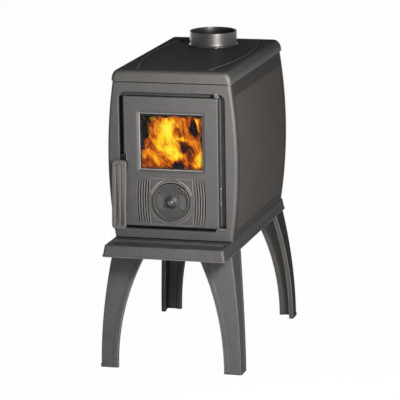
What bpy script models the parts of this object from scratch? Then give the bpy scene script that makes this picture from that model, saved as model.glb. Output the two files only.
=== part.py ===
"""Small free-standing cast iron stove on four splayed legs.

The body is four bowed wall castings held between a hearth tray and a top plate by four tie rods.
The front wall carries a glazed door with a drop latch and a turning air disc.
Units are metres, +Z is up and the door faces -Y. The origin is on the floor under the middle.
"""
import math

import bmesh
import bpy
from mathutils import Matrix, Vector

# Clearances
FIT = 0.0003
PIN_FIT = 0.0003

# Stack of heights
LEG_HEIGHT = 0.263
TRAY_HEIGHT = 0.026
BODY_HEIGHT = 0.350
TOP_EDGE = 0.027
COLLAR_RISE = 0.034

# Plan of the body
BODY_END_HALF = 0.1343
BODY_BOW = 0.0137
BODY_DEPTH = 0.457
HEARTH_DEPTH = 0.085
FOOT_REACH = 0.028
FRONT_FOOT_REACH = 0.041
WALL = 0.006
CORNER_DEPTH = 0.012
CORNER_RADIUS = 0.008
BOW_STEPS = 12

# Side walls
FIELD_RECESS = 0.0008
FIELD_TOP_BORDER = 0.0225
FIELD_BOTTOM_BORDER = 0.016
FIELD_END_BORDER = 0.008
FIELD_RAMP = 0.001

# Legs
FOOT_WIDTH = 0.0405
LEG_TOP_WIDTH = 0.080
LEG_SIDE_TOP_WIDTH = 0.075
LEG_SPLAY = 0.025
LEG_SPLAY_POWER = 1.9
LEG_CURVE_POWER = 2.3
LEG_WALL = 0.007
LEG_BORDER = 0.010
LEG_BORDER_RAISE = 0.0012
LEG_LIP = 0.003
LEG_EDGE_ROUND = 0.004
FOOT_BAND = 0.007
LEG_STEPS = 9
PAD_THICKNESS = 0.008
PAD_REACH = 0.050
PAD_INSET = 0.009
PAD_WIDTH = 0.026
LEG_BOLT_RADIUS = 0.004
LEG_BOLT_HEAD = 0.0065

# Hearth tray
TRAY_WALL = 0.005
TRAY_PLATE = 0.006
TRAY_FLARE = 0.0037
TRAY_BEAD = 0.0012
TRAY_BEAD_HEIGHT = 0.003
TRAY_EDGE_ROUND = 0.0015
TRAY_BACK_OVERHANG = 0.007
TRAY_SIDE_OVERHANG = 0.0012
DISH_DEPTH = 0.005
DISH_FRONT_RIM = 0.007
DISH_SIDE_RIM = 0.007
DISH_LEDGE = 0.022
DISH_SLOPE = 0.004

# Top plate
TOP_SIDE_OVERHANG = 0.0017
TOP_FRONT_OVERHANG = 0.003
TOP_BACK_OVERHANG = 0.001
TOP_ROLL_WIDTH = 0.018
TOP_ROLL_HEIGHT = 0.023
TOP_FRONT_ROUND = 0.009
TOP_PLATE = 0.008
TOP_RIM = 0.010
BEAD_BOW_X = 0.110
BEAD_BOW = 0.032
BEAD_BOW_Y = 0.045
BEAD_BOW_REACH = 0.227
BEAD_START = 0.020
BEAD_END = 0.018
BEAD_BASE = 0.0028
BEAD_TOP = 0.0010
BEAD_RAISE = 0.0009
BEAD_STEPS = 14

# Flue collar
FLUE_BORE = 0.050
COLLAR_WALL = 0.004
COLLAR_FOOT = 0.0572
COLLAR_FOOT_HEIGHT = 0.008
COLLAR_SEAT = 0.0005
COLLAR_FROM_BACK = 0.099
COLLAR_SIDES = 40
COLLAR_SCREW_RADIUS = 0.0015
COLLAR_SCREW_REACH = 0.0030
COLLAR_SCREW_DEPTH = 0.0035

# Front wall
RECESS_WIDTH = 0.239
RECESS_SILL = 0.0215
RECESS_CROWN = 0.0235
RECESS_DEPTH = 0.016
RECESS_ROUND = 0.014
RECESS_LIP = 0.0022
LAND = 0.005
TUB_WALL = 0.0055
FIRE_OPENING_WIDTH = 0.176
FIRE_OPENING_LAP = 0.01975
FIRE_OPENING_ROUND = 0.010

# Door
DOOR_LATCH_GAP = 0.0115
DOOR_HINGE_GAP = 0.0135
DOOR_TOP_GAP = 0.007
DOOR_SILL_GAP = 0.0085
DOOR_PROUD = 0.006
DOOR_DEPTH = 0.017
DOOR_PLATE = 0.007
DOOR_RIM = 0.018
DOOR_EDGE_ROUND = 0.002
DOOR_CORNER = 0.003
WINDOW_WIDTH = 0.142
WINDOW_ABOVE_SILL = 0.1275
WINDOW_BELOW_TOP = 0.0385
WINDOW_BEVEL = 0.008
WINDOW_LINTEL_BEVEL = 0.0100
WINDOW_SILL_BOW = 0.003
WINDOW_EDGE = 0.0014
WINDOW_STEPS = 8
SEAL_WIDTH = 0.008
SEAL_GROOVE = 0.004
SEAL_INSET = 0.012
SEAL_ROUND = 0.010

# Ribs and pockets round the air disc
DISC_ABOVE_SILL = 0.0565
PATTERN_HALF = 0.0505
RIB_COUNT = 5
RIB_FIRST = 0.0505
RIB_PITCH = 0.0057
RIB_GROOVE = 0.0026
RIB_DEPTH = 0.0014
RIB_BOW = 0.0036
RIB_STEPS = 6
POCKET_HALF = 0.0476
POCKET_RADIUS = 0.0520
POCKET_DEPTH = 0.001
POCKET_STEPS = 5

# Air disc
DISC_RADIUS = 0.0417
DISC_RING = 0.0041
DISC_THICKNESS = 0.0045
DISC_WEB = 0.0030
DISC_SIDES = 40
HUB_RADIUS = 0.014
HUB_NOSE = 0.009
HUB_RISE = 0.0055
VENT_INNER = 0.0165
VENT_OUTER = 0.0365
VENT_HALF_ANGLE = 41.0
DOOR_VENT_HALF_ANGLE = 36.0
VENT_STEPS = 6
SPINDLE_RADIUS = 0.003
SPINDLE_HEAD = 0.0066
SPINDLE_HEAD_HEIGHT = 0.0028
TAB_LENGTH = 0.010
TAB_WIDTH = 0.007
TAB_RISE = 0.0020
DISC_RANGE = 90.0

# Glazing
GLASS_LAP = 0.005
GLASS_THICKNESS = 0.0039
GLASS_SEAL = 0.0015
GLASS_SEAL_WIDTH = 0.008
CLIP_THICKNESS = 0.002
CLIP_WIDTH = 0.014
CLIP_LAP = 0.006
BOSS_WIDTH = 0.010
SCREW_RADIUS = 0.0022
SCREW_HEAD = 0.0038
SCREW_HEAD_HEIGHT = 0.0024
CLIP_SPREAD = 0.079

# Air deflector
DEFLECTOR_HALF = 0.062
DEFLECTOR_HALF_HEIGHT = 0.040
DEFLECTOR_RISE = 0.002
DEFLECTOR_ROUND = 0.006
DEFLECTOR_SCREW_X = 0.054
DEFLECTOR_HOLE = 0.009

# Hinges
HINGE_INSET = 0.004
HINGE_BEHIND = 0.010
HINGE_PIN = 0.0025
PIN_DEPTH = 0.006
LUG_HALF = 0.0044
LOWER_LUG_REACH = 0.0068
PIN_BITE = 0.005
STUD_HEIGHT = 0.040
STUD_ABOVE_SILL = 0.050
STUD_RADIUS = 0.003
DOOR_SWING = 110.0

# Latch handle
HANDLE_WIDTH = 0.033
HANDLE_LENGTH = 0.153
HANDLE_THICKNESS = 0.007
HANDLE_STAND = 0.0125
HANDLE_LEAN = 0.0115
HANDLE_OVERLAP = 0.0085
HANDLE_TOP_RISE = 0.0063
HANDLE_ROUND = 0.009
HANDLE_EDGE = 0.0015
GROOVE_WIDTH = 0.0042
GROOVE_DEPTH = 0.002
GROOVE_SPACING = 0.0112
GROOVE_END = 0.009
PIVOT_ABOVE_SILL = 0.141
PIVOT_DEPTH = 0.007
PIVOT_RADIUS = 0.003
PIVOT_HEAD = 0.0046
PIVOT_HEAD_HEIGHT = 0.003
NOTCH_DEPTH = 0.0047
NOTCH_ABOVE = 0.021
NOTCH_BELOW = 0.036
TONGUE_WIDTH = 0.008
TONGUE_SIDE_GAP = 0.0032
TONGUE_BOSS = 0.0054
FINGER_FRONT = 0.0105
FINGER_THICKNESS = 0.0035
FINGER_TOP = 0.0025
KEEPER_LIP = 0.003
KEEPER_LIP_GAP = 0.001
KEEPER_LIP_DROP = 0.002
KEEPER_WIDTH = 0.009
KEEPER_ARM = 0.009
KEEPER_ARM_GAP = 0.0035
HANDLE_SWING = 30.0

# Firebox lining
FLOOR_THICKNESS = 0.008
FLOOR_HALF = 0.127
LINING = 0.009
LINING_INNER_HALF = 0.117
LINING_HEADROOM = 0.102
LINING_END_GAP = 0.003
FLUTE_COUNT = 12
FLUTE_DEPTH = 0.003
LINING_LUG = 0.012
REAR_LINING_HALF = 0.116
BAFFLE_THICKNESS = 0.008
BAFFLE_SMOKE_GAP = 0.058
BAFFLE_STEP = 0.006
FENCE_HEIGHT = 0.042
FENCE_THICKNESS = 0.006
FENCE_HALF = 0.100
FENCE_BARS = 7

# Tie rods
ROD_RADIUS = 0.004
ROD_FRONT_X = 0.118
ROD_REAR_X = 0.092
ROD_GAP = 0.0055
ROD_REAR_INSET = 0.019
ROD_NUT = 0.0075
ROD_NUT_HEIGHT = 0.0065
ROD_TAIL = 0.004
ROD_BOSS = 0.009
ROD_BOSS_HEIGHT = 0.014

# Heights and planes that follow from the sizes above
TRAY_TOP = LEG_HEIGHT + TRAY_HEIGHT
BODY_BOTTOM = TRAY_TOP + FIT
BODY_TOP = TRAY_TOP + BODY_HEIGHT
TOP_BOTTOM = BODY_TOP + FIT
TOP_SURFACE = BODY_TOP + TOP_EDGE
COLLAR_TOP = TOP_SURFACE + COLLAR_RISE
TRAY_UNDERSIDE = TRAY_TOP - TRAY_PLATE
TOP_UNDERSIDE = TOP_SURFACE - TOP_PLATE
COLLAR_SEAT_Z = TOP_SURFACE - COLLAR_SEAT
HALF_LENGTH = (HEARTH_DEPTH + BODY_DEPTH + FOOT_REACH) / 2
FRONT_Y = HEARTH_DEPTH - HALF_LENGTH
BACK_Y = FRONT_Y + BODY_DEPTH
SIDE_FRONT_Y = FRONT_Y + CORNER_DEPTH + FIT
SIDE_BACK_Y = BACK_Y - CORNER_DEPTH - FIT
LAND_Y = FRONT_Y + RECESS_DEPTH
LAND_BACK_Y = LAND_Y + LAND
RECESS_BOTTOM = TRAY_TOP + RECESS_SILL
RECESS_TOP = BODY_TOP - RECESS_CROWN
RECESS_HEIGHT = RECESS_TOP - RECESS_BOTTOM
DOOR_LEFT = DOOR_LATCH_GAP - RECESS_WIDTH / 2
DOOR_RIGHT = RECESS_WIDTH / 2 - DOOR_HINGE_GAP
DOOR_X = (DOOR_LEFT + DOOR_RIGHT) / 2
DOOR_WIDTH = DOOR_RIGHT - DOOR_LEFT
DOOR_BOTTOM = RECESS_BOTTOM + DOOR_SILL_GAP
DOOR_TOP = RECESS_TOP - DOOR_TOP_GAP
DOOR_HEIGHT = DOOR_TOP - DOOR_BOTTOM
DOOR_Z = (DOOR_BOTTOM + DOOR_TOP) / 2
FIRE_OPENING_HEIGHT = DOOR_HEIGHT - 2 * FIRE_OPENING_LAP
DOOR_FACE_Y = FRONT_Y - DOOR_PROUD
DOOR_BACK_Y = DOOR_FACE_Y + DOOR_DEPTH
DOOR_INNER_Y = DOOR_FACE_Y + DOOR_PLATE
WINDOW_BOTTOM = DOOR_BOTTOM + WINDOW_ABOVE_SILL
WINDOW_HEIGHT = DOOR_TOP - WINDOW_BELOW_TOP - WINDOW_BOTTOM
WINDOW_Z = WINDOW_BOTTOM + WINDOW_HEIGHT / 2
DISC_Z = DOOR_BOTTOM + DISC_ABOVE_SILL
DISC_BACK_Y = DOOR_FACE_Y - FIT
DISC_WEB_Y = DISC_BACK_Y - DISC_WEB
HUB_NOSE_Y = DISC_WEB_Y - HUB_RISE
GLASS_SEAL_Y = DOOR_INNER_Y + FIT
GLASS_Y = GLASS_SEAL_Y + GLASS_SEAL + FIT
CLIP_Y = GLASS_Y + GLASS_THICKNESS + FIT
BOSS_Y = CLIP_Y - FIT
SCREW_Y = CLIP_Y + CLIP_THICKNESS + FIT
HINGE_X = DOOR_RIGHT - HINGE_INSET
HINGE_Y = DOOR_FACE_Y + HINGE_BEHIND
LUG_GAP = 0.0008
PIVOT_Y = DOOR_FACE_Y + PIVOT_DEPTH
PIVOT_Z = DOOR_BOTTOM + PIVOT_ABOVE_SILL
HANDLE_X = DOOR_LEFT + HANDLE_OVERLAP - HANDLE_WIDTH / 2
NOTCH_X = DOOR_LEFT + NOTCH_DEPTH
TONGUE_RIGHT = NOTCH_X - TONGUE_SIDE_GAP
TONGUE_LEFT = TONGUE_RIGHT - TONGUE_WIDTH
FLOOR_TOP = TRAY_TOP + FIT + FLOOR_THICKNESS
LINING_BOTTOM = FLOOR_TOP + FIT
LINING_HEIGHT = BODY_HEIGHT - LINING_HEADROOM
LINING_TOP = LINING_BOTTOM + LINING_HEIGHT
ROD_FRONT_Y = LAND_BACK_Y + ROD_GAP
ROD_REAR_Y = BACK_Y - ROD_REAR_INSET
LINING_FRONT_Y = ROD_FRONT_Y + ROD_GAP
REAR_LINING_Y = ROD_REAR_Y - ROD_RADIUS - LINING_END_GAP
LINING_BACK_Y = REAR_LINING_Y - LINING - LINING_END_GAP
FOOT_HALF = BODY_END_HALF + FOOT_REACH
FRONT_FOOT_Y = FRONT_Y - FRONT_FOOT_REACH
REAR_FOOT_Y = BACK_Y + FOOT_REACH
LEG_TOP = TRAY_UNDERSIDE - FIT
COLLAR_Y = BACK_Y - COLLAR_FROM_BACK


def clear_scene():
    """Remove what a new Blender file holds."""
    for item in list(bpy.data.objects):
        bpy.data.objects.remove(item, do_unlink=True)


def material(name, color, roughness, metallic, transmission=0.0):
    """Return a Principled material."""
    result = bpy.data.materials.new(name)
    result.use_nodes = True
    shader = result.node_tree.nodes["Principled BSDF"]
    shader.inputs["Base Color"].default_value = (*color, 1.0)
    shader.inputs["Roughness"].default_value = roughness
    shader.inputs["Metallic"].default_value = metallic
    shader.inputs["Transmission Weight"].default_value = transmission
    return result


# Outlines


def spread(low, high, count):
    """Return count + 1 even steps from low to high."""
    return [low + (high - low) * i / count for i in range(count + 1)]


def arc(cx, cy, radius, start, end, count):
    """Return points on an arc, angles in degrees."""
    return [(cx + radius * math.cos(math.radians(a)), cy + radius * math.sin(math.radians(a)))
            for a in spread(start, end, count)]


def rounded_rect(cx, cy, half_width, half_height, radius, steps=3):
    """Return a rounded rectangle, counter-clockwise."""
    points = []
    for i, (sx, sy) in enumerate(((1, 1), (-1, 1), (-1, -1), (1, -1))):
        x = cx + sx * (half_width - radius)
        y = cy + sy * (half_height - radius)
        points += arc(x, y, radius, 90 * i, 90 * i + 90, steps)
    return points


def rectangle(x0, x1, y0, y1):
    """Return a rectangle, counter-clockwise."""
    return [(x0, y0), (x1, y0), (x1, y1), (x0, y1)]


def body_half_width(z):
    """Return the bowed body's half width at height z."""
    middle = TRAY_TOP + BODY_HEIGHT / 2
    share = (z - middle) / (BODY_HEIGHT / 2)
    return BODY_END_HALF + BODY_BOW * (1 - share * share)


# Solids


def along(axis, point, level):
    """Place a flat outline's point at a level along an axis."""
    a, b = point
    return {"X": (level, a, b), "Y": (a, level, b), "Z": (a, b, level)}[axis]


def loft(rings, wrap=False):
    """Return a closed solid through rings of as many points each."""
    bm = bmesh.new()
    loops = [[bm.verts.new(point) for point in ring] for ring in rings]
    count = len(loops[0])
    pairs = list(zip(loops, loops[1:]))
    if wrap:
        pairs.append((loops[-1], loops[0]))
    else:
        bm.faces.new(loops[0])
        bm.faces.new(loops[-1])
    for low, high in pairs:
        for i in range(count):
            j = (i + 1) % count
            bm.faces.new((low[i], low[j], high[j], high[i]))
    bmesh.ops.recalc_face_normals(bm, faces=bm.faces)
    return bm


def prism(outline, axis, low, high):
    """Return an outline extruded from low to high along an axis."""
    return loft([[along(axis, point, level) for point in outline] for level in (low, high)])


def box(x0, x1, y0, y1, z0, z1):
    """Return a rectangular block."""
    return prism(rectangle(x0, x1, y0, y1), "Z", z0, z1)


def band(outer, inner, axis, low, high):
    """Return a flat frame between two outlines of as many points each."""
    return loft([[along(axis, point, level) for point in outline]
                 for outline, level in ((outer, low), (outer, high), (inner, high), (inner, low))], wrap=True)


def turned(profile, center, axis, sides, bored=False):
    """Return a turned solid. A profile is (radius, level) points; a bored one is a closed loop."""
    rings = []
    for radius, level in profile:
        circle = [(center[0] + radius * math.cos(2 * math.pi * (i + 0.5) / sides),
                   center[1] + radius * math.sin(2 * math.pi * (i + 0.5) / sides)) for i in range(sides)]
        rings.append([along(axis, point, level) for point in circle])
    return loft(rings, wrap=bored)


def rod(center, axis, radius, low, high, sides=16):
    """Return a round bar."""
    return turned([(radius, low), (radius, high)], center, axis, sides)


def joined(*parts):
    """Return one mesh that holds several separate closed solids."""
    result = bmesh.new()
    for part in parts:
        mesh = bpy.data.meshes.new("joined")
        part.to_mesh(mesh)
        part.free()
        result.from_mesh(mesh)
        bpy.data.meshes.remove(mesh)
    return result


# Objects


def new_object(name, bm, surface, origin=(0, 0, 0), parent=None):
    """Make an object whose origin is at a world point, under a parent if one is given."""
    origin = Vector(origin)
    bmesh.ops.translate(bm, verts=bm.verts, vec=-origin)
    mesh = bpy.data.meshes.new(name)
    bm.to_mesh(mesh)
    bm.free()
    mesh.shade_smooth()
    mesh.set_sharp_from_angle(angle=math.radians(24))
    if surface:
        mesh.materials.append(surface)
    result = bpy.data.objects.new(name, mesh)
    bpy.context.scene.collection.objects.link(result)
    result.location = origin
    if parent:
        result.parent = parent
        result.location = origin - parent.matrix_world.translation
    bpy.context.view_layer.update()
    return result


def axis_empty(name, position, parent=None):
    """Make an empty on a joint's axis."""
    result = bpy.data.objects.new(name, None)
    bpy.context.scene.collection.objects.link(result)
    result.location = position
    if parent:
        result.parent = parent
        result.location = Vector(position) - parent.matrix_world.translation
    bpy.context.view_layer.update()
    return result


def combine(target, operation, bm, overlapping=False):
    """Add or take away a hidden tool shape with a Boolean modifier."""
    count = sum(1 for modifier in target.modifiers) + 1
    tool = new_object(f"{target.name}.tool{count}", bm, None, target.matrix_world.translation, target)
    tool.hide_render = True
    tool.display_type = "WIRE"
    modifier = target.modifiers.new(f"{operation.lower()} {count}", "BOOLEAN")
    modifier.operation = operation
    modifier.solver = "EXACT"
    modifier.use_self = overlapping
    modifier.object = tool


def fuse(target, bm, overlapping=False):
    """Join a shape to an object."""
    combine(target, "UNION", bm, overlapping)


def cut(target, bm, overlapping=False):
    """Take a shape away from an object."""
    combine(target, "DIFFERENCE", bm, overlapping)


# Body castings


def side_plate(name, side, surface):
    """Make one bowed side wall with its sunk field."""
    field_low = TRAY_TOP + FIELD_BOTTOM_BORDER
    field_high = BODY_TOP - FIELD_TOP_BORDER
    field = spread(field_low + FIELD_RAMP, field_high - FIELD_RAMP, BOW_STEPS)
    heights = [BODY_BOTTOM, field_low, *field, field_high, BODY_TOP]

    def section(y, depth):
        outer = []
        for z in heights:
            sunk = depth if field_low < z < field_high else 0
            outer.append((side * (body_half_width(z) - sunk), y, z))
        inner = [(side * (body_half_width(z) - WALL), y, z) for z in reversed(heights)]
        return outer + inner

    front = SIDE_FRONT_Y + FIELD_END_BORDER
    back = SIDE_BACK_Y - FIELD_END_BORDER
    stations = ((SIDE_FRONT_Y, 0), (front, 0), (front + FIELD_RAMP, FIELD_RECESS),
                (back - FIELD_RAMP, FIELD_RECESS), (back, 0), (SIDE_BACK_Y, 0))
    return new_object(name, loft([section(y, depth) for y, depth in stations]), surface)


def bowed_ring(y, inset_x, inset_z):
    """Return the bowed body outline at y, drawn in by the insets."""
    low = BODY_BOTTOM + inset_z
    heights = spread(low, BODY_TOP - inset_z, BOW_STEPS)
    right = [(body_half_width(z) - inset_x, y, z) for z in heights]
    left = [(-x, y, z) for x, y, z in reversed(right)]
    return right + left


def bowed_pan(face_y, open_y):
    """Return an end wall: a plate with rounded upright corners and a rim that faces the body."""
    inward = 1 if open_y > face_y else -1
    rings = [bowed_ring(face_y + inward * WALL, WALL + 0.002, WALL),
             bowed_ring(open_y, WALL, WALL),
             bowed_ring(open_y, 0, 0)]
    for angle in spread(0, 90, 4):
        sweep = math.radians(angle)
        y = face_y + inward * CORNER_RADIUS * (1 - math.sin(sweep))
        rings.append(bowed_ring(y, CORNER_RADIUS * (1 - math.cos(sweep)), 0))
    return loft(rings)


def front_plate(surface):
    """Make the front wall: the door recess, the fire opening and the hinge lugs."""
    plate = new_object("front_plate", bowed_pan(FRONT_Y, FRONT_Y + CORNER_DEPTH), surface)
    z = (RECESS_BOTTOM + RECESS_TOP) / 2
    half_width = RECESS_WIDTH / 2
    half_height = RECESS_HEIGHT / 2

    def outline(offset, y):
        points = rounded_rect(0, z, half_width + offset, half_height + offset, RECESS_ROUND + offset)
        return [along("Y", point, y) for point in points]

    fuse(plate, loft([outline(TUB_WALL, FRONT_Y + WALL / 2), outline(TUB_WALL, LAND_BACK_Y)]))
    cut(plate, joined(loft([outline(RECESS_LIP * 1.5, FRONT_Y - RECESS_LIP / 2),
                            outline(0, FRONT_Y + RECESS_LIP), outline(0, LAND_Y)])))
    opening = rounded_rect(0, DOOR_Z, FIRE_OPENING_WIDTH / 2, FIRE_OPENING_HEIGHT / 2, FIRE_OPENING_ROUND)
    cut(plate, prism(opening, "Y", LAND_Y - RECESS_DEPTH / 2, LAND_BACK_Y + LAND))
    near = FRONT_Y + FIT / 2
    far = LAND_Y + LAND / 2
    left = HINGE_X - LOWER_LUG_REACH
    root = half_width + RECESS_LIP
    lower = [(left + 0.002, near), (root, near), (root, far), (left, far), (left, near + 0.002)]
    upper = [(HINGE_X - LUG_HALF, near), (HINGE_X + LUG_HALF - 0.0015, near),
             (HINGE_X + LUG_HALF, near + 0.0015), (HINGE_X + LUG_HALF, far), (HINGE_X - LUG_HALF, far)]
    fuse(plate, joined(prism(lower, "Z", RECESS_BOTTOM - RECESS_LIP * 2, DOOR_BOTTOM - LUG_GAP),
                       prism(upper, "Z", DOOR_TOP + LUG_GAP, RECESS_TOP + RECESS_LIP * 2), latch_keeper()))
    radius = HINGE_PIN + PIN_FIT
    cut(plate, joined(
        rod((HINGE_X, HINGE_Y), "Z", radius, DOOR_BOTTOM - LUG_GAP - PIN_BITE - FIT, DOOR_BOTTOM),
        rod((HINGE_X, HINGE_Y), "Z", radius, DOOR_TOP, DOOR_TOP + LUG_GAP + PIN_BITE + FIT)))
    return plate


def latch_keeper():
    """Return the hooked lug in the recess that holds the latch finger."""
    lip = PIVOT_Y + FINGER_FRONT - KEEPER_LIP_GAP - KEEPER_LIP
    arm = PIVOT_Z + FINGER_TOP + KEEPER_ARM_GAP
    back = LAND_Y + LAND / 2
    outline = [(lip, PIVOT_Z - KEEPER_LIP_DROP), (lip + KEEPER_LIP, PIVOT_Z - KEEPER_LIP_DROP),
               (lip + KEEPER_LIP, arm), (back, arm), (back, arm + KEEPER_ARM), (lip, arm + KEEPER_ARM)]
    wall = -RECESS_WIDTH / 2
    return prism(outline, "X", wall - TUB_WALL / 2, wall + KEEPER_WIDTH)


def back_plate(surface):
    """Make the rear wall."""
    return new_object("back_plate", bowed_pan(BACK_Y, BACK_Y - CORNER_DEPTH), surface)


def rod_places():
    """Return the name and plan position of each tie rod."""
    return [("front_left", -ROD_FRONT_X, ROD_FRONT_Y), ("front_right", ROD_FRONT_X, ROD_FRONT_Y),
            ("rear_left", -ROD_REAR_X, ROD_REAR_Y), ("rear_right", ROD_REAR_X, ROD_REAR_Y)]


def leg_places():
    """Return the name and the signs of x and y of each leg."""
    return [("front_left", -1, -1), ("front_right", 1, -1), ("rear_left", -1, 1), ("rear_right", 1, 1)]


def leg_corner(x_sign, y_sign, z):
    """Return the plan position of a leg's outer corner at height z."""
    inset = LEG_SPLAY * (z / LEG_HEIGHT) ** LEG_SPLAY_POWER
    y = REAR_FOOT_Y - inset if y_sign > 0 else FRONT_FOOT_Y + inset
    return x_sign * (FOOT_HALF - inset), y


def leg_bolt_place(x_sign, y_sign):
    """Return the plan position of a leg's bolt."""
    x, y = leg_corner(x_sign, y_sign, LEG_HEIGHT)
    reach = PAD_INSET + PAD_WIDTH / 2
    return x - x_sign * reach, y - y_sign * reach


def tray(surface):
    """Make the hearth tray: skirt, bead, ash dish, and the holes of the legs and tie rods."""
    half = BODY_END_HALF + TRAY_SIDE_OVERHANG
    front = -HALF_LENGTH + TRAY_BEAD + TRAY_FLARE
    back = BACK_Y + TRAY_BACK_OVERHANG
    center = (front + back) / 2
    depth = (back - front) / 2

    def outline(offset, z):
        points = rounded_rect(0, center, half + offset, depth + offset, 0.005 + offset * 0.5, 2)
        return [along("Z", point, z) for point in points]

    rings = [outline(TRAY_FLARE + TRAY_BEAD, LEG_HEIGHT),
             outline(TRAY_FLARE + TRAY_BEAD, LEG_HEIGHT + TRAY_BEAD_HEIGHT),
             outline(TRAY_FLARE, LEG_HEIGHT + TRAY_BEAD_HEIGHT + TRAY_BEAD),
             outline(0, TRAY_TOP - TRAY_EDGE_ROUND),
             outline(-TRAY_EDGE_ROUND, TRAY_TOP)]
    result = new_object("hearth_tray", loft(rings), surface)
    dish_back = FRONT_Y - DISH_LEDGE
    under = LEG_HEIGHT - TRAY_WALL
    inner = half - TRAY_WALL
    cut(result, box(-inner, inner, dish_back, back - TRAY_WALL, under, TRAY_UNDERSIDE))
    cut(result, box(-inner, inner, front + TRAY_WALL, dish_back + TRAY_WALL, under,
                    TRAY_UNDERSIDE - DISH_DEPTH))
    dish_front = front + DISH_FRONT_RIM
    dish_half = half - DISH_SIDE_RIM

    def dish(offset, z):
        points = rounded_rect(0, (dish_front + dish_back) / 2, dish_half + offset,
                              (dish_back - dish_front) / 2 + offset, 0.008 + offset, 3)
        return [along("Z", point, z) for point in points]

    holes = [rod(leg_bolt_place(x, y), "Z", LEG_BOLT_RADIUS + PIN_FIT, LEG_HEIGHT, BODY_BOTTOM)
             for name, x, y in leg_places()]
    holes += [rod((x, y), "Z", ROD_RADIUS + PIN_FIT, LEG_HEIGHT, BODY_BOTTOM) for name, x, y in rod_places()]
    cut(result, joined(loft([dish(-DISH_SLOPE, TRAY_TOP - DISH_DEPTH), dish(DISH_SLOPE / DISH_DEPTH * FIT,
                                                                           TRAY_TOP + FIT)]), *holes))
    return result


def top_plate(surface):
    """Make the top plate: rolled sides, raised bowed beads, collar seat, flue hole and tie rod bosses."""
    half = BODY_END_HALF + TOP_SIDE_OVERHANG
    front = FRONT_Y - TOP_FRONT_OVERHANG
    back = BACK_Y + TOP_BACK_OVERHANG

    def section(y, inset):
        side = half - inset
        top = TOP_SURFACE - inset
        width = TOP_ROLL_WIDTH - inset / 2
        height = TOP_ROLL_HEIGHT - inset / 2
        right = [(side, TOP_BOTTOM)]
        for angle in spread(0, 90, 6):
            sweep = math.radians(angle)
            right.append((side - width * (1 - math.cos(sweep)), top - height * (1 - math.sin(sweep))))
        left = [(-x, z) for x, z in reversed(right)]
        return [along("Y", point, y) for point in right + left]

    rings = [section(front + TOP_FRONT_ROUND * (1 - math.cos(math.radians(a))),
                     TOP_FRONT_ROUND * (1 - math.sin(math.radians(a)))) for a in spread(0, 90, 4)]
    rings.append(section(back, 0))
    result = new_object("top_plate", loft(rings), surface)
    cut(result, box(TOP_RIM - half, half - TOP_RIM, front + TOP_RIM, back - TOP_RIM,
                    TOP_BOTTOM - TOP_RIM, TOP_UNDERSIDE))
    beads = [bead(side, front + TOP_FRONT_ROUND + BEAD_START - 0.008, back - BEAD_END) for side in (-1, 1)]
    bosses = [rod((x, y), "Z", ROD_BOSS, TOP_UNDERSIDE - ROD_BOSS_HEIGHT, TOP_UNDERSIDE + TOP_PLATE / 2)
              for name, x, y in rod_places()]
    fuse(result, joined(*beads, *bosses))
    seat = rod((0, COLLAR_Y), "Z", COLLAR_FOOT + FIT, COLLAR_SEAT_Z, TOP_SURFACE + FIT, COLLAR_SIDES)
    cut(result, seat)
    hole = rod((0, COLLAR_Y), "Z", FLUE_BORE, TOP_UNDERSIDE - FIT, TOP_SURFACE + FIT, COLLAR_SIDES)
    bores = [rod((x, y), "Z", ROD_RADIUS + PIN_FIT, TOP_UNDERSIDE - ROD_BOSS_HEIGHT - FIT,
                 TOP_UNDERSIDE - ROD_BOSS_HEIGHT / 3) for name, x, y in rod_places()]
    screws = [rod(place, "Z", COLLAR_SCREW_RADIUS + PIN_FIT, TOP_UNDERSIDE - FIT, TOP_SURFACE + FIT, 12)
              for place in collar_screw_places()]
    cut(result, joined(hole, *bores, *screws))
    return result


def bead(side, front, back):
    """Return one bowed bead that stands on the top plate."""
    rings = []
    for y in spread(front, back, BEAD_STEPS):
        share = (y - BEAD_BOW_Y) / BEAD_BOW_REACH
        x = side * (BEAD_BOW_X - BEAD_BOW * share * share)
        low = TOP_SURFACE - BEAD_RAISE
        high = TOP_SURFACE + BEAD_RAISE
        rings.append([(x - BEAD_BASE / 2, y, low), (x + BEAD_BASE / 2, y, low),
                      (x + BEAD_BASE / 2, y, TOP_SURFACE), (x + BEAD_TOP / 2, y, high),
                      (x - BEAD_TOP / 2, y, high), (x - BEAD_BASE / 2, y, TOP_SURFACE)])
    return loft(rings)


def collar_screw_places():
    """Return the plan positions of the screws that hold the flue collar."""
    radius = FLUE_BORE + COLLAR_SCREW_REACH
    return [(0, COLLAR_Y - radius), (0, COLLAR_Y + radius)]


def flue_collar(surface):
    """Make the flue collar with its flared foot."""
    seat = COLLAR_SEAT_Z + FIT
    outer = FLUE_BORE + COLLAR_WALL
    foot = seat + COLLAR_FOOT_HEIGHT
    profile = [(COLLAR_FOOT, seat), (COLLAR_FOOT, seat + 0.002)]
    for angle in spread(20, 90, 4):
        sweep = math.radians(angle)
        profile.append((COLLAR_FOOT - (COLLAR_FOOT - outer) * math.sin(sweep),
                        seat + 0.002 + (foot - seat) * (1 - math.cos(sweep))))
    profile += [(outer, COLLAR_TOP - 0.0015), (outer - 0.0015, COLLAR_TOP), (FLUE_BORE + 0.001, COLLAR_TOP),
                (FLUE_BORE, COLLAR_TOP - 0.001), (FLUE_BORE, seat)]
    result = new_object("flue_collar", turned(profile, (0, COLLAR_Y), "Z", COLLAR_SIDES, bored=True), surface)
    end = seat + COLLAR_SCREW_DEPTH
    cut(result, joined(*(rod(place, "Z", COLLAR_SCREW_RADIUS + PIN_FIT, seat - FIT, end, 12)
                         for place in collar_screw_places())))
    return result


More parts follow.
